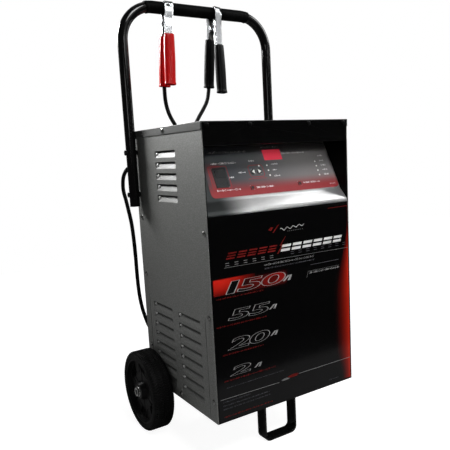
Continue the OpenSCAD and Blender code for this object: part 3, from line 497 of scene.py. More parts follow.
# Near white: a painted highlight on the louvers' rounded ends
moulded("bare_louver_end", (0.88, 0.88, 0.87), 0.30)
metal("lamination_iron", (0.20, 0.18, 0.16), 0.5, (1.0, 0.05, 1.0), 0.3)
metal("enamelled_copper", (0.60, 0.25, 0.11), 0.3, (1.0, 1.0, 0.05), 0.2)
metal("extruded_aluminium", (0.72, 0.73, 0.75), 0.3, (1.0, 1.0, 0.04))
moulded("solder_mask", (0.02, 0.16, 0.06), 0.35)
moulded("wire_red", (0.40, 0.03, 0.025), 0.45)
for ink, colour in (
    ("white_ink", (0.80, 0.80, 0.79)), ("outline_ink", (0.42, 0.42, 0.42)), ("grey_ink", (0.22, 0.22, 0.22)),
    ("dim_ink", (0.07, 0.07, 0.08)), ("dim_red_ink", (0.17, 0.006, 0.004)), ("grey_mark", (0.36, 0.36, 0.36)),
    ("panel_ink", (0.85, 0.84, 0.84)), ("panel_red", (0.42, 0.030, 0.032)),
):
    plain_ink(ink, colour)
number_fill()

# ---- making pieces


def make(name, points, faces, body, material, slot=None, matrix=None, sharp=35, stands_for=()):
    """A mesh piece from points in mm in a local frame, riding on a body; slot is not used."""
    mesh = bpy.data.meshes.new(name)
    mesh.from_pydata([tuple(p) for p in points], [], faces)
    mesh.transform(matrix if matrix is not None else Matrix.Scale(MM, 4))
    mesh.validate()
    mesh.shade_smooth()
    mesh.set_sharp_from_angle(angle=radians(sharp))
    mesh.materials.append(MATERIALS[material])
    obj = add_object(name, mesh)
    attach(obj, body)
    if stands_for:
        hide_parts(*stands_for)
    return obj


def around(count):
    """Angles of evenly spaced points round a circle."""
    return [2 * PI * k / count for k in range(count)]


def polar(radius, angle, height):
    """A point round Z."""
    return Vector((radius * cos(angle), radius * sin(angle), height))


def outward(points, faces):
    """The same closed mesh with every face turned outwards."""
    bm = bmesh.new()
    verts = [bm.verts.new(p) for p in points]
    for f in faces:
        bm.faces.new([verts[i] for i in f])
    bmesh.ops.recalc_face_normals(bm, faces=bm.faces)
    bm.verts.index_update()
    result = [tuple(v.co) for v in bm.verts], [[v.index for v in f.verts] for f in bm.faces]
    bm.free()
    return result


def loft(sections, ring=False):
    """Skin through sections of equal length, closed at its ends; ring joins the last to the first."""
    n, count = len(sections[0]), len(sections)
    points = [p for s in sections for p in s]
    faces = []
    for i in range(count if ring else count - 1):
        j = (i + 1) % count
        for k in range(n):
            k2 = (k + 1) % n
            faces.append([i * n + k, i * n + k2, j * n + k2, j * n + k])
    if not ring:
        faces.append(list(range(n))[::-1])
        faces.append([(count - 1) * n + k for k in range(n)])
    return points, faces


def raised(foot, top):
    """Sides and top of a block between two outlines of equal length."""
    n = len(foot)
    faces = [[k, (k + 1) % n, n + (k + 1) % n, n + k] for k in range(n)]
    return foot + top, faces + [[n + k for k in range(n)]]


def joined(parts):
    """Several meshes as one."""
    points, faces = [], []
    for p, f in parts:
        start = len(points)
        points += [Vector(q) for q in p]
        faces += [[start + i for i in face] for face in f]
    return points, faces


def solid(name, parts, *settings, **more):
    """A piece from closed meshes in mm, settings as for make()."""
    points, faces = outward(*joined(parts))
    return make(name, points, faces, *settings, **more)


def lathe(profile, steps):
    """Closed profile of (radius, height) turned about Z."""
    return loft([[polar(r, a, z) for r, z in profile] for a in around(steps)], ring=True)


def tube(path, radius, sides=10, closed=False):
    """Round tube along a path of Vectors, without twist."""
    count = len(path)
    across = None
    sections = []
    for i, p in enumerate(path):
        back = path[i - 1] if closed or i else p
        ahead = path[(i + 1) % count] if closed or i < count - 1 else p
        along = (ahead - back).normalized()
        if across is None:
            across = along.orthogonal()
        across = (across - along * across.dot(along)).normalized()
        other = along.cross(across)
        sections.append([p + (across * cos(a) + other * sin(a)) * radius for a in around(sides)])
    return loft(sections, ring=closed)


def rounded(width, depth, power=3.2):
    """Outline between an ellipse and a rectangle."""
    outline = []
    for a in around(40):
        c, s = cos(a), sin(a)
        x = copysign(abs(c) ** (2 / power), c) * width / 2
        y = copysign(abs(s) ** (2 / power), s) * depth / 2
        outline.append((x, y))
    return outline


# ---- print on the two labels


class Print:
    """Thin ink shapes on one flat surface, gathered into one piece per ink."""

    def __init__(self, name, matrix, base, seed):
        self.name, self.matrix, self.base = name, matrix, base
        self.inks = {}
        self.random = random.Random(seed)

    def shape(self, ink, outline):
        """One filled outline, given as (x, y) in mm, anticlockwise."""
        outlines = [[Vector((x, y, self.base + z)) for x, y in outline] for z in (-0.02, INK_LIFT)]
        self.inks.setdefault(ink, []).append(raised(*outlines))

    def bar(self, ink, x0, x1, y0, y1, slant=0.0):
        """Block whose ends lean by slant."""
        lean = (y1 - y0) * slant
        self.shape(ink, [(x0, y0), (x1, y0), (x1 + lean, y1), (x0 + lean, y1)])

    def rule(self, ink, start, end, thick):
        """Straight line between two points."""
        across = Vector((start[1] - end[1], end[0] - start[0])).normalized() * thick / 2
        a, b = Vector(start), Vector(end)
        self.shape(ink, [tuple(p) for p in (a - across, b - across, b + across, a + across)])

    def ring(self, ink, x0, x1, y0, y1, r, thick):
        """Outlined rectangle with rounded corners."""
        middles = ((x1 - r, y1 - r), (x0 + r, y1 - r), (x0 + r, y0 + r), (x1 - r, y0 + r))

        def corners(inset):
            radius = max(r - inset, 0.05)
            return [
                (cx + radius * cos(radians(90 * i + 22.5 * k)),
                 cy + radius * sin(radians(90 * i + 22.5 * k)))
                for i, (cx, cy) in enumerate(middles) for k in range(5)
            ]

        outer, inner = corners(0), corners(thick)
        n = len(outer)
        for k in range(n):
            k2 = (k + 1) % n
            self.shape(ink, [outer[k], outer[k2], inner[k2], inner[k]])

    def words(self, ink, x0, x1, y, height, slant=0.0):
        """A line of small blocks, as wide and as high as a line of print seen from afar."""
        x = x0
        left = self.random.randint(3, 7)
        while x < x1 - height * 0.3:
            w = height * self.random.uniform(0.42, 0.72)
            top = y + height * self.random.choice((1.0, 1.0, 0.78))
            thick = height * 0.27
            end = min(x + w, x1)
            kind = self.random.randint(0, 2)
            if kind == 0:
                lean = (top - y - thick) * slant
                self.bar(ink, x, end, y, y + thick, slant)
                self.bar(ink, x + lean, end + lean, top - thick, top, slant)
            elif kind == 1:
                self.bar(ink, x, end, y + thick, y + 2.2 * thick, slant)
            else:
                self.bar(ink, x, end, y, top, slant)
            x += w + height * 0.22
            left -= 1
            if left == 0:
                left = self.random.randint(3, 7)
                x += height * 0.4

    def numeral(self, text, x0, x1, y0, y1, slant, edge):
        """Dark numerals in a grey outline of the given width."""
        meshes = []
        for offset in (0.0, edge):
            curve = bpy.data.curves.new("numeral", "FONT")
            curve.body = text
            curve.resolution_u = 5
            curve.space_character = 0.92
            curve.offset = offset + 0.012
            obj = add_object("numeral", curve)
            view = bpy.context.evaluated_depsgraph_get()
            meshes.append(bpy.data.meshes.new_from_object(obj.evaluated_get(view)))
            bpy.data.objects.remove(obj)
        inner = [v.co for v in meshes[0].vertices]
        low = Vector(min(c[k] for c in inner) for k in (0, 1))
        high = Vector(max(c[k] for c in inner) for k in (0, 1))
        lean = (y1 - y0) * slant
        sx, sy = (x1 - x0 - lean) / (high.x - low.x), (y1 - y0) / (high.y - low.y)
        for mesh, ink, lift in zip(meshes[::-1], ("outline_ink", "number_fill"), (INK_LIFT, FILL_LIFT)):
            points = []
            for v in mesh.vertices:
                y = (v.co.y - low.y) * sy
                points.append(Vector((x0 + (v.co.x - low.x) * sx + y * slant, y0 + y, self.base + lift)))
            faces = [list(p.vertices) for p in mesh.polygons]
            self.inks.setdefault(ink, []).append((points, faces))

    def done(self, body, slot, material=None):
        """Make the gathered pieces, in their inks or in one material."""
        for ink, parts in self.inks.items():
            points, faces = joined(parts)
            make(f"{self.name}_{ink}", points, faces, body, material or ink, slot, self.matrix)


def unit_mark(p, x, y, wide, high):
    """Small slanted wedge and block, after a number."""
    for a, b, c, d in ((0, 0.22, 0.80, 0.55), (0.52, 0.80, 1, 0.82)):
        foot = [(x + wide * a, y), (x + wide * b, y)]
        p.shape("grey_mark", foot + [(x + wide * c, y + high), (x + wide * d, y + high)])


def print_front():
    """Print of the front label, laid out in mm from its middle and the cabinet's underside."""
    p = Print("front", FRONT, 0, 11)
    p.rule("dim_red_ink", (115, 381.2), (HALF_W - 5, 381.7), 1.0)
    # Emblem: two dim red slants, a white flourish and a row of dots
    p.shape("dim_red_ink", [(-39, 354), (-33, 351.5), (-26, 358), (-33, 358.5)])
    p.shape("dim_red_ink", [(-29, 347.5), (-26, 347.5), (-12, 362), (-16, 361)])

    def wave(t, lift):
        """Point of the flourish at t of its length."""
        return -10 + 60 * t, 351.6 + 2.6 * sin(t * 25 + 0.7) * (1 - 0.35 * t) + 4.2 * t + lift

    for i in range(36):
        t0, t1 = i / 36, (i + 1) / 36
        p.shape("white_ink", [wave(t0, -0.7), wave(t1, -0.7), wave(t1, 0.4), wave(t0, 0.4)])
    for i in range(9):
        p.bar("grey_ink", 8 + i * 4.6, 9.6 + i * 4.6, 346.2, 347.4)
    # Title: five stacks of dim red bars, a bolt, six pairs of white bars
    for i in range(5):
        for y, h in ((310.8, 2.6), (315.6, 2.2), (320.4, 2.6)):
            x = -137 + i * 23.6 + (y - 311) * 0.5
            p.bar("dim_red_ink", x, x + 18.5, y, y + h, 0.5)
    p.shape("dim_red_ink", [
        (-20, 305), (-17, 305), (-3, 322), (-8, 323), (3, 337), (1.5, 337), (-13, 320.5), (-8.5, 319.6)
    ])
    for i in range(6):
        x, y = -11 + i * 27.3, 308.2 + 0.05 * i
        p.bar("white_ink", x, x + 22.5, y, y + 5.2, 0.35)
        p.bar("white_ink", x + 2.8, x + 25.3, y + 8.2, y + 13.4, 0.35)
    # Widely spaced line under the title
    spots = [-139 + i * 20.3 for i in range(6)] + [14 + i * 19.9 for i in range(8)]
    for i, x in enumerate(spots):
        ink, y = ("grey_ink", 299.0) if i < 6 else ("dim_ink", 300.2)
        p.bar(ink, x, x + 8.2, y, y + 1.1)
        p.bar(ink, x, x + 8.2, y + 4.2, y + 5.3)
    p.rule("grey_ink", (-142, 296), (HALF_W - 5, 293), 0.6)
    p.words("grey_ink", -52, 75, 286.2, 3.6, 0.3)
    p.words("dim_ink", -52, 74, 279.4, 2.8, 0.3)
    p.rule("dim_ink", (64, 271), (141, 271), 1.1)
    p.words("grey_mark", 60, 144, 253.2, 3.6, 0.35)
    p.rule("grey_ink", (53, 246), (57, 257.5), 0.6)
    p.rule("grey_ink", (57, 258.6), (142, 258.8), 0.5)
    # Numbers, their unit marks, and the dim red line under each
    rows = (
        ("1", -140, -111, 246.4, 268.6, None), ("50", -116, 3, 246.4, 268.6, (-9, 249, 24, 10)),
        ("55", -139, -40, 195, 214.4, (-45, 198.5, 20, 8.6)),
        ("20", -142, -41, 139, 160, (-44, 145.2, 19, 8.6)), ("2", -140, -87, 88, 105, (-86, 90.6, 19, 8)),
    )
    for text, x0, x1, y0, y1, mark in rows:
        p.numeral(text, x0, x1, y0, y1, 0.6, 0.016)
        if mark:
            unit_mark(p, *mark)
    for x0, x1, y, h in (
        (-163, -55, 238.6, 2.6), (-165, -51, 185.6, 2.8), (-154, -60, 130.2, 2.8), (-155, -35, 79.2, 2.8)
    ):
        p.words("dim_red_ink", x0, x1, y, h, 0.2)
    p.words("dim_ink", -151, -14, 66.2, 1.8, 0.2)
    # Line and small print at the foot, with a generic badge
    p.rule("grey_mark", (-165.5, 46.8), (-27, 44.4), 0.8)
    p.rule("grey_mark", (16, 49.8), (HALF_W - 5, 49.2), 0.8)
    for cx, cy, w, h, ink in ((-10, 47.0, 11, 3.0, "grey_ink"), (9, 49.5, 15, 4.4, "dim_red_ink")):
        p.shape(ink, [(cx + w * cos(a) + h * 0.5 * sin(a), cy + h * sin(a) * 0.7) for a in around(24)])
    for y, x1 in ((39.6, -98), (32.2, -51), (25.4, -51)):
        p.words("dim_ink", -160, x1, y, 2.4)
    p.words("dim_red_ink", -159, -45, 9.5, 2.8)
    p.words("dim_ink", 107, 134, 12, 2.0)
    p.done("root", "label_film")


def print_panel():
    """Print of the control label, laid out in mm from its middle and down the slope."""
    p = Print("panel", SLOPE, LABEL_T, 5)
    # Lines of print: from, to, distance down the slope, height, slant
    rows = (
        (-125, -41, 15.5, 3.2, 0.5), (-3, 42, 8.2, 2.6), (45, 104, 23.8, 3.6, 0.15), (-41, -26, 36.6, 3.2),
        (-128, -72, 38.4, 3.6), (-73, -56, 59.6, 3.2), (-97, -86, 68.2, 3.0), (-131, -78, 93.4, 3.6),
        (10, 26, 46.2, 3.4), (10, 20, 58.6, 3.0), (9, 23, 71.8, 3.0), (137, 152, 33.6, 3.0),
        (-42, 0, 93.0, 3.2), (76, 122, 91.8, 3.2), (144, 162, 98.4, 1.6),
    )
    for x0, x1, drop, *looks in rows:
        p.words("panel_ink", x0, x1, -drop, *looks)
    for i in range(4):
        p.words("panel_ink", 138, 151, -(45.2 + 10.6 * i), 3.4)
    # Flourish at the upper left, ahead of its line of print
    p.shape("panel_ink", [(-131, -16), (-127, -14.6), (-116, -11), (-112, -10), (-124, -12.6)])
    p.shape("panel_ink", [(-119, -16), (-117, -16), (-109, -10.4), (-112, -10.6)])
    p.ring("panel_red", -48, -12.5, -70, -44, 6, 0.9)
    p.rule("panel_red", (-54, -73), (-11, -73), 0.8)
    p.ring("panel_red", -137.5, -96, -88.5, -42, 4, 1.0)
    p.done("root", "panel_film")


def button_marks():
    """White arrow heads on the round buttons and red rims on the square ones."""
    y = -58.5
    for name, x, way in (("left_arrow", -38.5, -1), ("right_arrow", -23.5, 1)):
        p = Print(name, SLOPE, LABEL_T + 1.4, 1)
        p.shape("lens", [(x - 2.9 * way, y - 4.2 * way), (x + 4.1 * way, y), (x - 2.9 * way, y + 4.2 * way)])
        p.done(name, "button_plastic", "white_painted_glow")
    for name, centre in (("battery_button", -51.5), ("display_button", 65.5)):
        p = Print(name, SLOPE, LABEL_T + 1.2, 1)
        p.ring("panel_red", centre - 3.7, centre + 3.7, -94.7, -87.3, 1.1, 0.8)
        p.done(name, "button_plastic")


print_front()
print_panel()
button_marks()

# ---- louvers


def louver_ends(side):
    """Rounded piece at the upper rear end of every louver, near white as a painted highlight."""
    parts = []
    for middles, top, rows in LOUVERS:
        size = 4.6 if rows == 5 else 3.6
        for y, z in [(y, top - LOUVER_PITCH * i) for y in middles for i in range(rows)]:
            sections = []
            for i in range(6):
                a = PI / 2 * i / 5.5
                x = side * (HALF_W - 3.4 + 3.0 * sin(a))
                sections.append([
                    cab(x, y + 43.4 - size + size * cos(a) * cos(t),
                        z - 1.6 - size + size * cos(a) * sin(t) * 0.9) / MM
                    for t in around(20)
                ])
            parts.append(loft(sections))
    solid(f"{SIDES[side]}_louver_ends", parts, "root", "bare_louver_end", "grey_paint", sharp=60)


for side in SIDES:
    louver_ends(side)

# ---- wheels

TREAD_BLOCKS = 96
# Rows of tread blocks: from, to, shift by a share of the pitch
TREAD_ROWS = ((8.2, 13.6, 0.0), (14.9, 20.3, 0.5), (21.4, 26.6, 0.0), (27.7, 33.1, 0.5), (34.4, 39.8, 0.0))


def tyre(side):
    """Tyre with rows of small tread blocks, shoulder lugs and two sidewall rings."""
    half = [
        (RIM_R, 3.0), (73.2, 1.9), (75.0, 1.5), (75.5, 0.9), (76.6, 0.8), (77.1, 1.3), (79.2, 1.0),
        (79.7, 0.6), (80.9, 0.8), (81.3, 1.5), (83.4, 3.0), (84.8, 5.0), (85.1, 7.5), (85.2, 12),
    ]
    profile = half + [(r, WHEEL_W - z) for r, z in reversed(half)]
    parts = [lathe(profile, 160)]
    tread_r = WHEEL_R - 0.05
    pitch = 2 * PI / TREAD_BLOCKS

    def block(z0, z1, turn, skew):
        outlines = []
        for r, inset in ((84.8, 0.0), (tread_r, 0.35)):
            spread = (pitch * WHEEL_R * 0.29 - inset) / WHEEL_R
            outlines.append([
                polar(r, turn + u * spread + skew * (z - (z0 + z1) / 2) / WHEEL_R, z)
                for u, z in ((-1, z0 + inset), (1, z0 + inset), (1, z1 - inset), (-1, z1 - inset))
            ])
        return raised(*outlines)

    def lug(turn, mirror):
        """Bent bar from the tread down over the shoulder."""
        # Radius and depth of its outer face, then of its foot
        line = (
            (tread_r, 7.4, 84.6, 7.4), (WHEEL_R - 0.3, 5.4, 84.0, 6.0),
            (85.8, 3.0, 83.2, 4.4), (82.4, 1.2, 81.2, 2.6),
        )
        points, faces = [], []
        for r1, z1, r0, z0 in line:
            for u in (-1, 1):
                for r, z, w in ((r1, z1, 0.26), (r0, z0, 0.32)):
                    points.append(polar(r, turn + u * pitch * w, WHEEL_W - z if mirror else z))
        last = 4 * (len(line) - 1)
        for a in range(0, last, 4):
            b = a + 4
            faces += [[a, a + 2, b + 2, b], [a, b, b + 1, a + 1], [a + 2, a + 3, b + 3, b + 2]]
        faces += [[last, last + 2, last + 3, last + 1], [0, 1, 3, 2]]
        return points, faces

    for i in range(TREAD_BLOCKS):
        for z0, z1, shift in TREAD_ROWS:
            parts.append(block(z0, z1, (i + shift) * pitch, 0.5 if shift else -0.5))
        for mirror in (False, True):
            parts.append(lug((i + 0.5) * pitch, mirror))
    word = SIDES[side]
    solid(f"{word}_tread_tyre", parts, f"{word}_wheel", "tyre_rubber", None, wheel_matrix(side), 25,
          (f"{word}_tyre",))


def window_outline(angle, out):
    """Outline of a rim window, out mm outside its own edge."""
    corner, steps = 5 + out, 8
    centres = [(47, -7), (58, -13.5), (58, 13.5), (47, 7)]
    points = []
    for i, c in enumerate(centres):
        back = Vector(c) - Vector(centres[i - 1])
        ahead = Vector(centres[(i + 1) % 4]) - Vector(c)
        a0 = atan2(back.y, back.x) - PI / 2
        a1 = atan2(ahead.y, ahead.x) - PI / 2
        if a1 < a0:
            a1 += 2 * PI
        for k in range(steps + 1):
            a = a0 + (a1 - a0) * k / steps
            points.append((c[0] + corner * cos(a), c[1] + corner * sin(a)))
    ca, sa = cos(angle), sin(angle)
    return [(x * ca - y * sa, x * sa + y * ca) for x, y in points]


def rim_details(side):
    """Raised lip round each window, ribs between them, and two rings on the web."""
    parts = []
    for i in range(6):
        angle = radians(60 * i + 4)
        path = [Vector((x, y, WEB_OUT)) for x, y in window_outline(angle, 1.1)]
        parts.append(tube(path, 1.15, 10, closed=True))
        rib = [polar(r, angle + PI / 6, WEB_OUT - 0.2) for r in (21, 40, 64)]
        parts.append(tube(rib, 1.3, 10))
    for r in (23.5, 66.2):
        parts.append(tube([polar(r, a, WEB_OUT) for a in around(96)], 0.9, 8, closed=True))
    word = SIDES[side]
    solid(f"{word}_rim_lips", parts, f"{word}_wheel", "rim_plastic", None, wheel_matrix(side), 50)


def axle_plug(side):
    """Black plastic plug in the end of the axle, inside the bright cap."""
    face = WHEEL_W + 4
    profile = [(0.01, face + 0.55), (4.9, face + 0.55), (5.8, face + 0.35), (6.1, face), (0.01, face)]
    solid(f"{SIDES[side]}_axle_plug", [lathe(profile, 48)], "root", "black_plastic", "axle_steel",
          wheel_matrix(side), 40)


for side in SIDES:
    tyre(side)
    rim_details(side)
for side in SIDES:
    axle_plug(side)

# ---- handle grip

GRIP_X = 131
GRIP_BORE = 11.06
RIB_PITCH = 3.75


def grip():
    """Ribbed sleeve along the cross bar and into its bends."""
    straight = TUBE_X - BEND_R
    half = straight + BEND_R * asin((GRIP_X - straight) / BEND_R)
    rings = int(2 * half / 0.75)

    def place(s, r):
        """Ring of radius r round the tube, at s along it from the middle."""
        a = max(abs(s) - straight, 0) / BEND_R
        sign = 1 if s > 0 else -1
        x = s if a == 0 else sign * (straight + BEND_R * sin(a))
        centre = cab(x, TUBE_Y, BAR_Z - BEND_R * (1 - cos(a))) / MM
        up = Vector((sign * sin(a), 0, cos(a)))
        return [centre + (up * cos(t) + Vector((0, 1, 0)) * sin(t)) * r for t in around(56)]

    def radius(s):
        """A smooth collar at each end, a groove, then the ribs."""
        inward = half - abs(s)
        if inward < 7:
            return 12.96 - 0.9 * max(0, 1 - inward / 1.5) ** 2
        if inward < 8.5:
            return 12.3
        return 12.45 + 0.26 * max(0.0, cos(2 * PI * s / RIB_PITCH)) ** 0.6

    stations = [half * (-1 + 2 * i / rings) for i in range(rings + 1)]
    sections = [place(s, radius(s)) for s in stations]
    sections = [place(-half, GRIP_BORE)] + sections + [place(half, GRIP_BORE)]
    solid("ribbed_grip", [loft(sections, ring=True)], "root", "grip_rubber", sharp=60,
          stands_for=("handle_grip",))


grip()

# ---- clamps

# Each clamp: place along the cross bar, lean and turn in degrees, half the handles' spread
CLAMPS = {"red": (-80.5, 3.2, -7, 18.5), "black": (40, 2.5, 13, 21)}
HANDLE_LEN = 130
# Sleeve: width, depth, length; and how far one has slipped down its handle
SLEEVE = (25, 18, 108)
SLIPPED = {("black", -1): 16}


def clamp_matrix(colour):
    """Frame at a clamp's pivot: jaws up, front half towards -Y."""
    x, lean, turn, _ = CLAMPS[colour]
    m = Matrix.Translation(cab(x, TUBE_Y, BAR_Z - 34)) @ Matrix.Rotation(radians(turn), 4, "Z")
    return m @ Matrix.Rotation(radians(lean), 4, "Y") @ Matrix.Scale(MM, 4)


def sleeve(colour, way):
    """Dipped vinyl sleeve: soft corners, a swell at mid length, a flared lip at the open end."""
    spread = CLAMPS[colour][3]
    lean = atan((spread - 14) / (HANDLE_LEN - 22))
    width, depth, length = SLEEVE
    # Distance from the open end, share of the width, share of the depth
    stops = (
        (0.0, 0.90, 0.88), (0.0, 0.985, 0.98), (0.8, 1.0, 1.0), (3.2, 1.0, 1.0), (4.6, 0.965, 0.95),
        (9, 0.955, 0.94), (25, 0.975, 0.965), (50, 0.985, 0.985), (75, 0.965, 0.965), (95, 0.925, 0.92),
        (102, 0.90, 0.89), (106, 0.875, 0.86), (107.5, 0.83, 0.81), (length, 0.76, 0.72),
        (length, 0.66, 0.55), (length - 1.5, 0.62, 0.5),
    )
    sections = [[Vector((x * 0.82, y * 0.8, 2.0)) for x, y in rounded(width, depth)]]
    for z, wide, deep in stops:
        wobble = 0.12 * sin(z * 0.11 + (1 if way > 0 else 2))
        sections.append([
            Vector((x * wide + wobble, y * deep, z)) for x, y in rounded(width, depth, 2.9 + 0.4 * (z < 5))
        ])
    points, faces = loft(sections)
    turn = Matrix.Rotation(lean, 4, "X")
    flip = Matrix.Scale(-1, 4, (0, 1, 0)) if way < 0 else Matrix.Identity(4)
    slip = Vector((0, 0, SLIPPED.get((colour, way), 0)))
    points = [flip @ (Vector((0, spread, -HANDLE_LEN)) + turn @ (p - slip)) for p in points]
    half, body = ("rear", "root") if way > 0 else ("front", f"{colour}_jaw")
    return solid(f"{colour}_{half}_vinyl", [(points, faces)], body, f"{colour}_vinyl", None,
                 clamp_matrix(colour), 50, (f"{colour}_clamp_{half}_sleeve",))


def braid(colour):
    """Flat braided strap inside the rear half's channel, past the pivot, from sleeve to jaw."""
    parts = []
    steps = 160
    for strand in range(4):
        path = []
        for i in range(steps + 1):
            t = i / steps
            phase = t * 2 * PI * 4.5 + strand * PI / 2
            path.append(Vector((4.3 * sin(phase), 11.6 + 0.8 * cos(2 * phase), -24 + 44 * t)))
        parts.append(tube(path, 0.85, 8))
    for z in (-21, 17):
        ring = [Vector((5.0 * cos(a), 11.6 + 1.9 * sin(a), z)) for a in around(24)]
        parts.append(tube(ring, 0.7, 8, closed=True))
    solid(f"{colour}_braid", parts, "root", "tinned_braid", "clamp_chrome", clamp_matrix(colour), 60)


for colour in CLAMPS:
    sleeve(colour, 1)
    sleeve(colour, -1)
    braid(colour)

# ---- leads

# Leads: the points each passes from the rear panel to its clamp, in mm in the row frame
ROUTES = {
    "black": [
        (-156, 125.5, 580.5), (-156, 145, 580.5), (-156, 163, 580.5), (-157, 184, 580.5),
        (-159, 198.5, 577.6), (-162, 210.9, 569.4), (-165, 219.1, 557), (-166.5, 222, 542.5),
        (-167, 221, 524.5), (-166, 213.5, 504.5), (-166, 203, 481.5), (-164.5, 194, 449), (-164, 189, 412),
        (-163, 188.5, 370), (-162, 190.5, 328), (-160, 192.5, 289.5), (-157, 191.5, 255.5),
        (-151, 186.5, 220.5), (-142, 181.5, 192.5), (-128, 176.5, 173.5), (-110, 171.5, 167.5),
        (-92, 166.5, 178.5), (-80, 163.5, 203.5), (-73, 160.5, 236), (-70, 157.5, 272), (-69, 154.5, 312),
        (-68, 151, 355), (-66.5, 148, 400), (-65.5, 145, 445), (-63.5, 143, 490.5), (-59.5, 141, 535.5),
        (-52.5, 140, 575.5), (-42.5, 139, 610.5), (-29.5, 138, 638.5), (-14.5, 137, 662.5),
        (0.5, 136, 686.5), (13, 135, 704.5), (23, 133.5, 722.5), (28, 133, 740.5), (30, 132.5, 754.5),
    ],
    "red": [
        (156, 125.5, 580.5), (156, 145, 580.5), (156, 163, 580.5), (157, 182, 578), (158, 198, 569),
        (159, 209, 554), (159.5, 214, 534), (159.5, 215, 512), (158.5, 211, 482.5), (157.5, 206, 448.5),
        (156.5, 201, 410), (155.5, 197, 370.5), (152, 192.5, 290.5), (148, 190.5, 252.5),
        (140, 187.5, 220.5), (126, 183.5, 197.5), (107, 179.5, 187.5), (88.5, 175.5, 192),
        (73.5, 171.5, 212), (63.5, 168.5, 243), (57.5, 166.5, 278), (54.5, 164.5, 315), (52, 163.5, 352),
        (49, 162.5, 388), (45, 161.5, 422), (39, 160.5, 456), (31, 159.5, 488.5), (22, 158.5, 517.5),
        (12, 157.5, 545.5), (1, 156, 571.5), (-10.5, 154, 595.5), (-23.5, 152, 617.5), (-36.5, 149, 637.5),
        (-49.5, 145, 655.5), (-61.5, 141, 671.5), (-73.5, 137, 688.5), (-80.5, 135, 704.5),
        (-84.5, 133.5, 720.5), (-86.2, 132.2, 736.5), (-86.7, 131, 754.5),
    ],
}
LEAD_D = 0.009


def lead(colour):
    """An output lead: a smooth round cable along its route, from the rear panel to its clamp."""
    route = [Vector(p) * MM for p in ROUTES[colour]]
    curve = bpy.data.curves.new(f"{colour}_cable", "CURVE")
    curve.dimensions = "3D"
    curve.bevel_depth = LEAD_D / 2
    curve.bevel_resolution = 6
    curve.use_fill_caps = True
    line = curve.splines.new("BEZIER")
    line.bezier_points.add(len(route) - 1)
    for point, place in zip(line.bezier_points, route):
        point.co = place
        point.handle_left_type = point.handle_right_type = "AUTO"
    line.resolution_u = 6
    curve.materials.append(MATERIALS["lead_jacket"])
    obj = add_object(f"{colour}_cable", curve)
    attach(obj, "root")
    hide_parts(f"{colour}_lead")


for colour in ROUTES:
    lead(colour)


def relief(colour):
    """Tapered strain relief with flex ribs, over the rear panel's collar."""
    profile = [
        (5.15, -6), (6.9, -6), (6.9, 0.02), (10.6, 0.02), (11, 0.6), (11, 3.2), (10.5, 4.0), (9.4, 4.2)
    ]
    for i in range(7):
        z = 5.4 + i * 4.1
        r = 8.9 - i * 0.37
        profile += [
            (r - 1.3, z - 0.6), (r - 1.3, z + 0.6), (r, z + 1.1), (r - 0.1, z + 2.6), (r - 1.3, z + 3.0)
        ]
    profile += [(6.1, 34), (5.9, 35), (5.15, 35)]
    exit_matrix = frame_matrix((1, 0, 0), (0, 0, -1), Vector(ROUTES[colour][0]) * MM)
    solid(f"{colour}_ribbed_relief", [lathe(profile, 48)], "root", "black_plastic", None, exit_matrix, 30,
          (f"{colour}_strain_relief",))


for colour in CLAMPS:
    relief(colour)

# ---- finishes of the CAD nodes

FINISH = {
    "grey_hammertone": "left_side_panel right_side_panel top_cover rear_panel base_pan",
    "black_enamel": "handle_tube foot_strap handle_bolts",
    "cabinet_black": "front_panel",
    "liner_black": "recess_liner front_screws",
    "silver_panel": "control_panel",
    "front_print": "front_label",
    "panel_print": "control_label",
    "display_glass": "display_window",
    "switch_plastic": "rocker_bezel rocker_switch",
    "button_plastic": "arrow_button_left arrow_button_right battery_type_button display_mode_button",
    "white_painted_glow": "indicator_lights",
    "zinc_screw": "cabinet_screws foot_bolts saddle_bolts transformer_bolts axle_saddles",
    "axle_steel": "axle",
    "rim_plastic": "left_rim right_rim",
    "tyre_rubber": "left_tyre right_tyre",
    "grip_rubber": "handle_grip",
    "lead_jacket": "red_lead black_lead",
    "cap_plate": "axle_caps",
    "black_plastic": "red_strain_relief black_strain_relief mains_gland fan_frame fan_rotor circuit_breaker",
    "lamination_iron": "transformer_core",
    "enamelled_copper": "transformer_windings",
    "extruded_aluminium": "rectifier_heatsink rectifier_diodes",
    "solder_mask": "control_board",
    "wire_red": "internal_wiring",
}
# Widths of rounded edges
SOFT_EDGES = {
    "top_cover": 0.5, "left_side_panel": 0.35, "right_side_panel": 0.35, "front_panel": 0.5,
    "foot_strap": 0.8, "rear_panel": 0.4, "base_pan": 0.4, "front_label": 0.15,
}
for colour in CLAMPS:
    clamp = f"{colour}_clamp"
    FINISH[f"{colour}_vinyl"] = f"{clamp}_rear_sleeve {clamp}_front_sleeve"
    # The rear halves take the darkened chrome: painted shade
    for part, material in (
        ("front_half", "chrome_plate"), ("pin", "chrome_plate"), ("rear_half", "shaded_chrome"),
        ("spring", "nickel_plate"),
    ):
        FINISH[material] = FINISH.get(material, "") + f" {clamp}_{part}"
    SOFT_EDGES[f"{clamp}_front_half"] = SOFT_EDGES[f"{clamp}_rear_half"] = 0.3

for material, names in FINISH.items():
    for name in names.split():
        data = NODES[name].data
        data.materials.clear()
        data.materials.append(MATERIALS[material])

for name, width in SOFT_EDGES.items():
    weld = NODES[name].modifiers.new("weld", "WELD")
    weld.merge_threshold = 0.00001
    bevel = NODES[name].modifiers.new("soft_edges", "BEVEL")
    bevel.width = width * MM
    bevel.segments = 2
    bevel.limit_method = "ANGLE"
    bevel.angle_limit = radians(40)
    bevel.harden_normals = True

# ---- floor and light


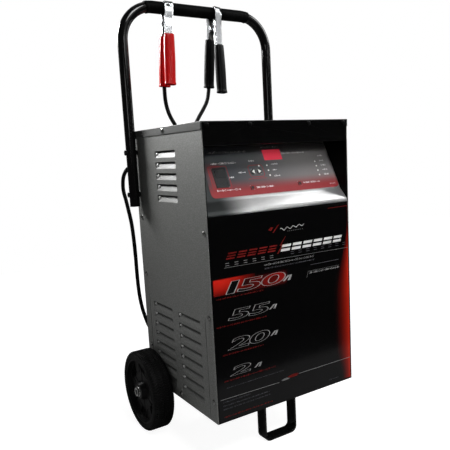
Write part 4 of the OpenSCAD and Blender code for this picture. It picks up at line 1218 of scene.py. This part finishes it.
def make_floor():
    """Pale floor that ends in front of the object, so a glossy front reflects only a short stretch."""
    front, back, wide = -0.52, 2.2, 3.2
    points = [(-wide, front, 0), (wide, front, 0), (wide, back, 0), (-wide, back, 0)]
    mesh = bpy.data.meshes.new("floor")
    mesh.from_pydata(points, [], [[0, 1, 2, 3]])
    floor = add_object("floor", mesh)
    n = Nodes("floor_paint")
    tone = n.mix(n.noise(3, 2), (0.42, 0.42, 0.42), (0.46, 0.46, 0.46))
    n.set(Base_Color=tone, Roughness=0.9, Specular_IOR_Level=0.1)
    x, y, _ = n.place()
    away = n.math("SQRT", n.plus(n.times(x, x), n.times(y, y)))
    shown = n.plus(n.times(n.ramp(away, 0.28, 0.60), 0.10), 0.93)
    n.set(Emission_Color=(1, 1, 1), Emission_Strength=n.strength(shown, 0.0))
    mesh.materials.append(MATERIALS["floor_paint"])


def make_world():
    """White where the camera sees it, nearly dark for everything else."""
    world = bpy.data.worlds.new("studio")
    n = Nodes("studio", world)
    n.set(Color=(1, 1, 1), Strength=n.strength(1.0, 0.05))
    bpy.context.scene.world = world


# Each light: place and target in metres, width, height, watts, spread in degrees
LIGHTS = {
    "side_softbox": ((-0.52, 0.90, 1.18), (-0.17, -0.03, 0.76), 0.34, 0.34, 3.7, 60),
    "cheek_light": ((-1.2, -1.6, 0.9), (-0.17, 0, 0.2), 0.35, 0.35, 1.4, 180),
    "tube_strip": ((1.50, -0.15, 1.00), (0, 0.1, 0.8), 0.10, 1.0, 2.5, 180),
    "panel_light": ((0.35, -2.0, 1.15), (0.01, -0.1, 0.50), 0.4, 0.4, 0.25, 20),
    "chrome_card": ((1.20, -1.65, 1.40), (0, 0.1, 0.9), 2.1, 0.5, 2.2, 180),
    "front_softbox": ((0.05, -1.50, 2.10), (0, -0.1, 0.5), 0.7, 0.7, 26, 180),
    "lip_softbox": ((1.50, -0.30, 1.62), (0, -0.1, 0.5), 0.8, 0.8, 13, 180),
    "top_softbox": ((0.4, 0.6, 2.4), (0, 0, 0.5), 1.4, 1.4, 2, 180),
}


def area_light(name, place, target, width, height, power, spread):
    data = bpy.data.lights.new(name, "AREA")
    data.shape = "RECTANGLE"
    data.size, data.size_y = width, height
    data.energy = power
    data.spread = radians(spread)
    obj = add_object(name, data)
    obj.location = place
    obj.rotation_mode = "QUATERNION"
    obj.rotation_quaternion = (Vector(target) - Vector(place)).to_track_quat("-Z", "Y")


make_floor()
make_world()
for name, settings in LIGHTS.items():
    area_light(name, *settings)
bpy.context.scene.view_settings.view_transform = "Standard"
bpy.context.scene.view_settings.look = "None"
